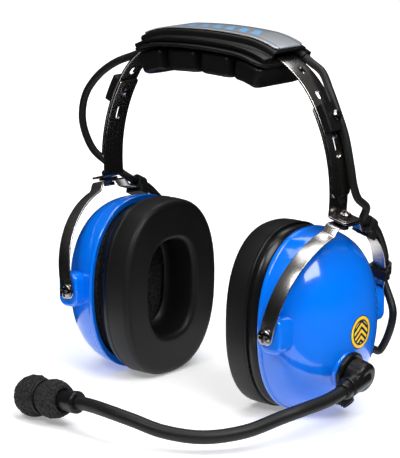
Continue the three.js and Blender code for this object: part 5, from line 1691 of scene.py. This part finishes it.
def badge():
    """A disc in the y-z plane laid on the shell by the shell's own formula."""
    share = np.linspace(0, 1, 30)[:, None]
    v = np.arange(90) * 2 * math.pi / 90
    y = BADGE_AT[0] * CUP_HALF_WIDTH + share * BADGE_RADIUS * np.cos(v)
    z = BADGE_AT[1] * CUP_HALF_HEIGHT + share * BADGE_RADIUS * np.sin(v)
    size = (np.abs(y / CUP_HALF_WIDTH) ** SECTION_POWER + np.abs(z / CUP_HALF_HEIGHT) ** SECTION_POWER)
    scale = size ** (1 / SECTION_POWER)
    x = CUP_RIM + CUP_DEPTH * (1 - scale**NOSE_POWER) ** (1 / SIDE_POWER)
    grid = in_cup(x + BADGE_LIFT, stacked(y, z))
    patch = surface("left_cup_badge", grid, caps=False, crease=80)
    patch.data.materials.append(badge_finish())
    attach(patch, "left_cup")
    return patch


badge_patch = badge()
print("badge:", badge_patch.name)

# %% [markdown]
# ## Pieces kept from the mechanical model
# Small pieces whose shape is already right are copied, their doubles merged and their
# flat faces joined, and a narrow bevel breaks their edges.

# %% refined copies
def refined(node, slot, body, width=0.3):
    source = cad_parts[node].data
    mesh = bpy.data.meshes.new(node + "_fine")
    points = np.zeros(len(source.vertices) * 3)
    source.vertices.foreach_get("co", points)
    mesh.from_pydata(points.reshape(-1, 3).tolist(), [], [list(p.vertices) for p in source.polygons])
    work = bmesh.new()
    work.from_mesh(mesh)
    bmesh.ops.remove_doubles(work, verts=work.verts, dist=1e-6)
    bmesh.ops.dissolve_limit(work, angle_limit=math.radians(1), verts=work.verts, edges=work.edges)
    work.to_mesh(mesh)
    work.free()
    smoothed(mesh, 40)
    copy = linked(node + "_fine", mesh)
    eased(copy, width, 3, 38)
    return fitted(copy, slot, body, node)


KEPT = [("clamp_block", "black_plastic", "arm", 0.35), ("clamp_screw", "dark_steel", "arm", 0.2),
        ("swivel_nut", "dark_steel", "arm", 0.2), ("swivel_washer", "lead_rubber", "arm", 0.2),
        ("lead_clip_upper", "lead_rubber", "stirrup", 0.4),
        ("lead_clip_lower", "lead_rubber", "stirrup", 0.4),
        ("seal_plate", "black_plastic", "cup", 0.3), ("speaker", "black_plastic", "cup", 0.3)]
kept = [
    refined(f"{side}_{piece}", slot, f"{side}_{body}", width)
    for side in SIDES
    for piece, slot, body, width in KEPT
]
kept.append(refined("mic_capsule", "dark_steel", "boom", 0.3))
kept.append(refined("mic_board", "board_green", "left_cup", 0.1))
print("refined copies:", len(kept))

# %% [markdown]
# ## Studio
# A pale floor and three soft boxes under a surround that is dark at the horizon and white
# overhead. The surround is what steel and gloss show as their own brightness, and its
# fall to dark gives straps and shells the bands that make metal and gloss readable. Gloss
# sees only the floor close by, as it would on a small table.

# %% floor and lights
def sheet(name, width, depth, at, turn):
    mesh = bpy.data.meshes.new(name)
    x, y = width / 2, depth / 2
    mesh.from_pydata([(-x, -y, 0), (x, -y, 0), (x, y, 0), (-x, y, 0)], [], [(0, 1, 2, 3)])
    flat = linked(name, mesh)
    flat.location = at
    flat.rotation_euler = turn
    return flat


def floor_finish():
    """A faint glow that grows with distance keeps the far floor as pale as the near one."""
    tree = Tree("pale_floor")
    place = tree.place()
    cloud = tree.noise(place, 3, 2)
    base = tree.mixed(cloud, color(0.90, 0.90, 0.905), color(0.93, 0.93, 0.93))
    reach = tree.add("ShaderNodeVectorMath", {"operation": "LENGTH"}, {0: place}, output=1)
    glow = tree.mixed(tree.fade(reach, 0.15, 1.3), color(0.3, 0.3, 0.3), color(0.85, 0.85, 0.85))
    return tree.finish(
        {"Specular IOR Level": 0.1, "Emission Strength": 1.0},
        {"Base Color": base, "Roughness": 0.6 + cloud * 0.05, "Emission Color": glow},
    )


pale = floor_finish()
floor = sheet("floor", 9, 9, (0, 0, -0.0004), (0, 0, 0))
floor.data.materials.append(pale)
floor.visible_glossy = False
table = sheet("table", 0.29, 0.26, (0, 0, -0.0003), (0, 0, 0))
table.data.materials.append(pale)


def soft_box(name, at, size, watts, towards=(0.0, 0.0, 0.1)):
    light = bpy.data.lights.new(name, "AREA")
    light.shape = "RECTANGLE"
    light.size, light.size_y = size
    light.energy = watts
    lamp = linked(name, light)
    lamp.location = at
    lamp.rotation_mode = "QUATERNION"
    lamp.rotation_quaternion = (Vector(at) - Vector(towards)).to_track_quat("Z", "Y")
    return lamp


soft_box("key_box", (0.06, -1.22, 1.36), (0.62, 0.44), 11)
soft_box("top_box", (-0.2, 0.3, 1.5), (1.3, 1.3), 16)
soft_box("side_box", (0.88, -0.27, 1.18), (0.8, 0.75), 17)

world = bpy.data.worlds.new("surround")
bpy.context.scene.world = world
world.use_nodes = True


def light_surround():
    """Dark round the horizon and white overhead; plain white where it is seen directly."""
    tree = Tree.__new__(Tree)
    tree.nodes, tree.links = world.node_tree.nodes, world.node_tree.links
    background = tree.nodes["Background"]
    aim = tree.add("ShaderNodeTexCoord", output="Generated")
    height = tree.part(aim, 2)
    overhead = tree.fade(height, 0.1, 0.7) * 1.25 + 0.13
    seen = tree.add("ShaderNodeLightPath", output="Is Camera Ray")
    tree.connect(overhead * (1 - seen) + seen, background.inputs["Strength"])


light_surround()
bpy.context.scene.view_settings.view_transform = "Standard"
print("studio ready")
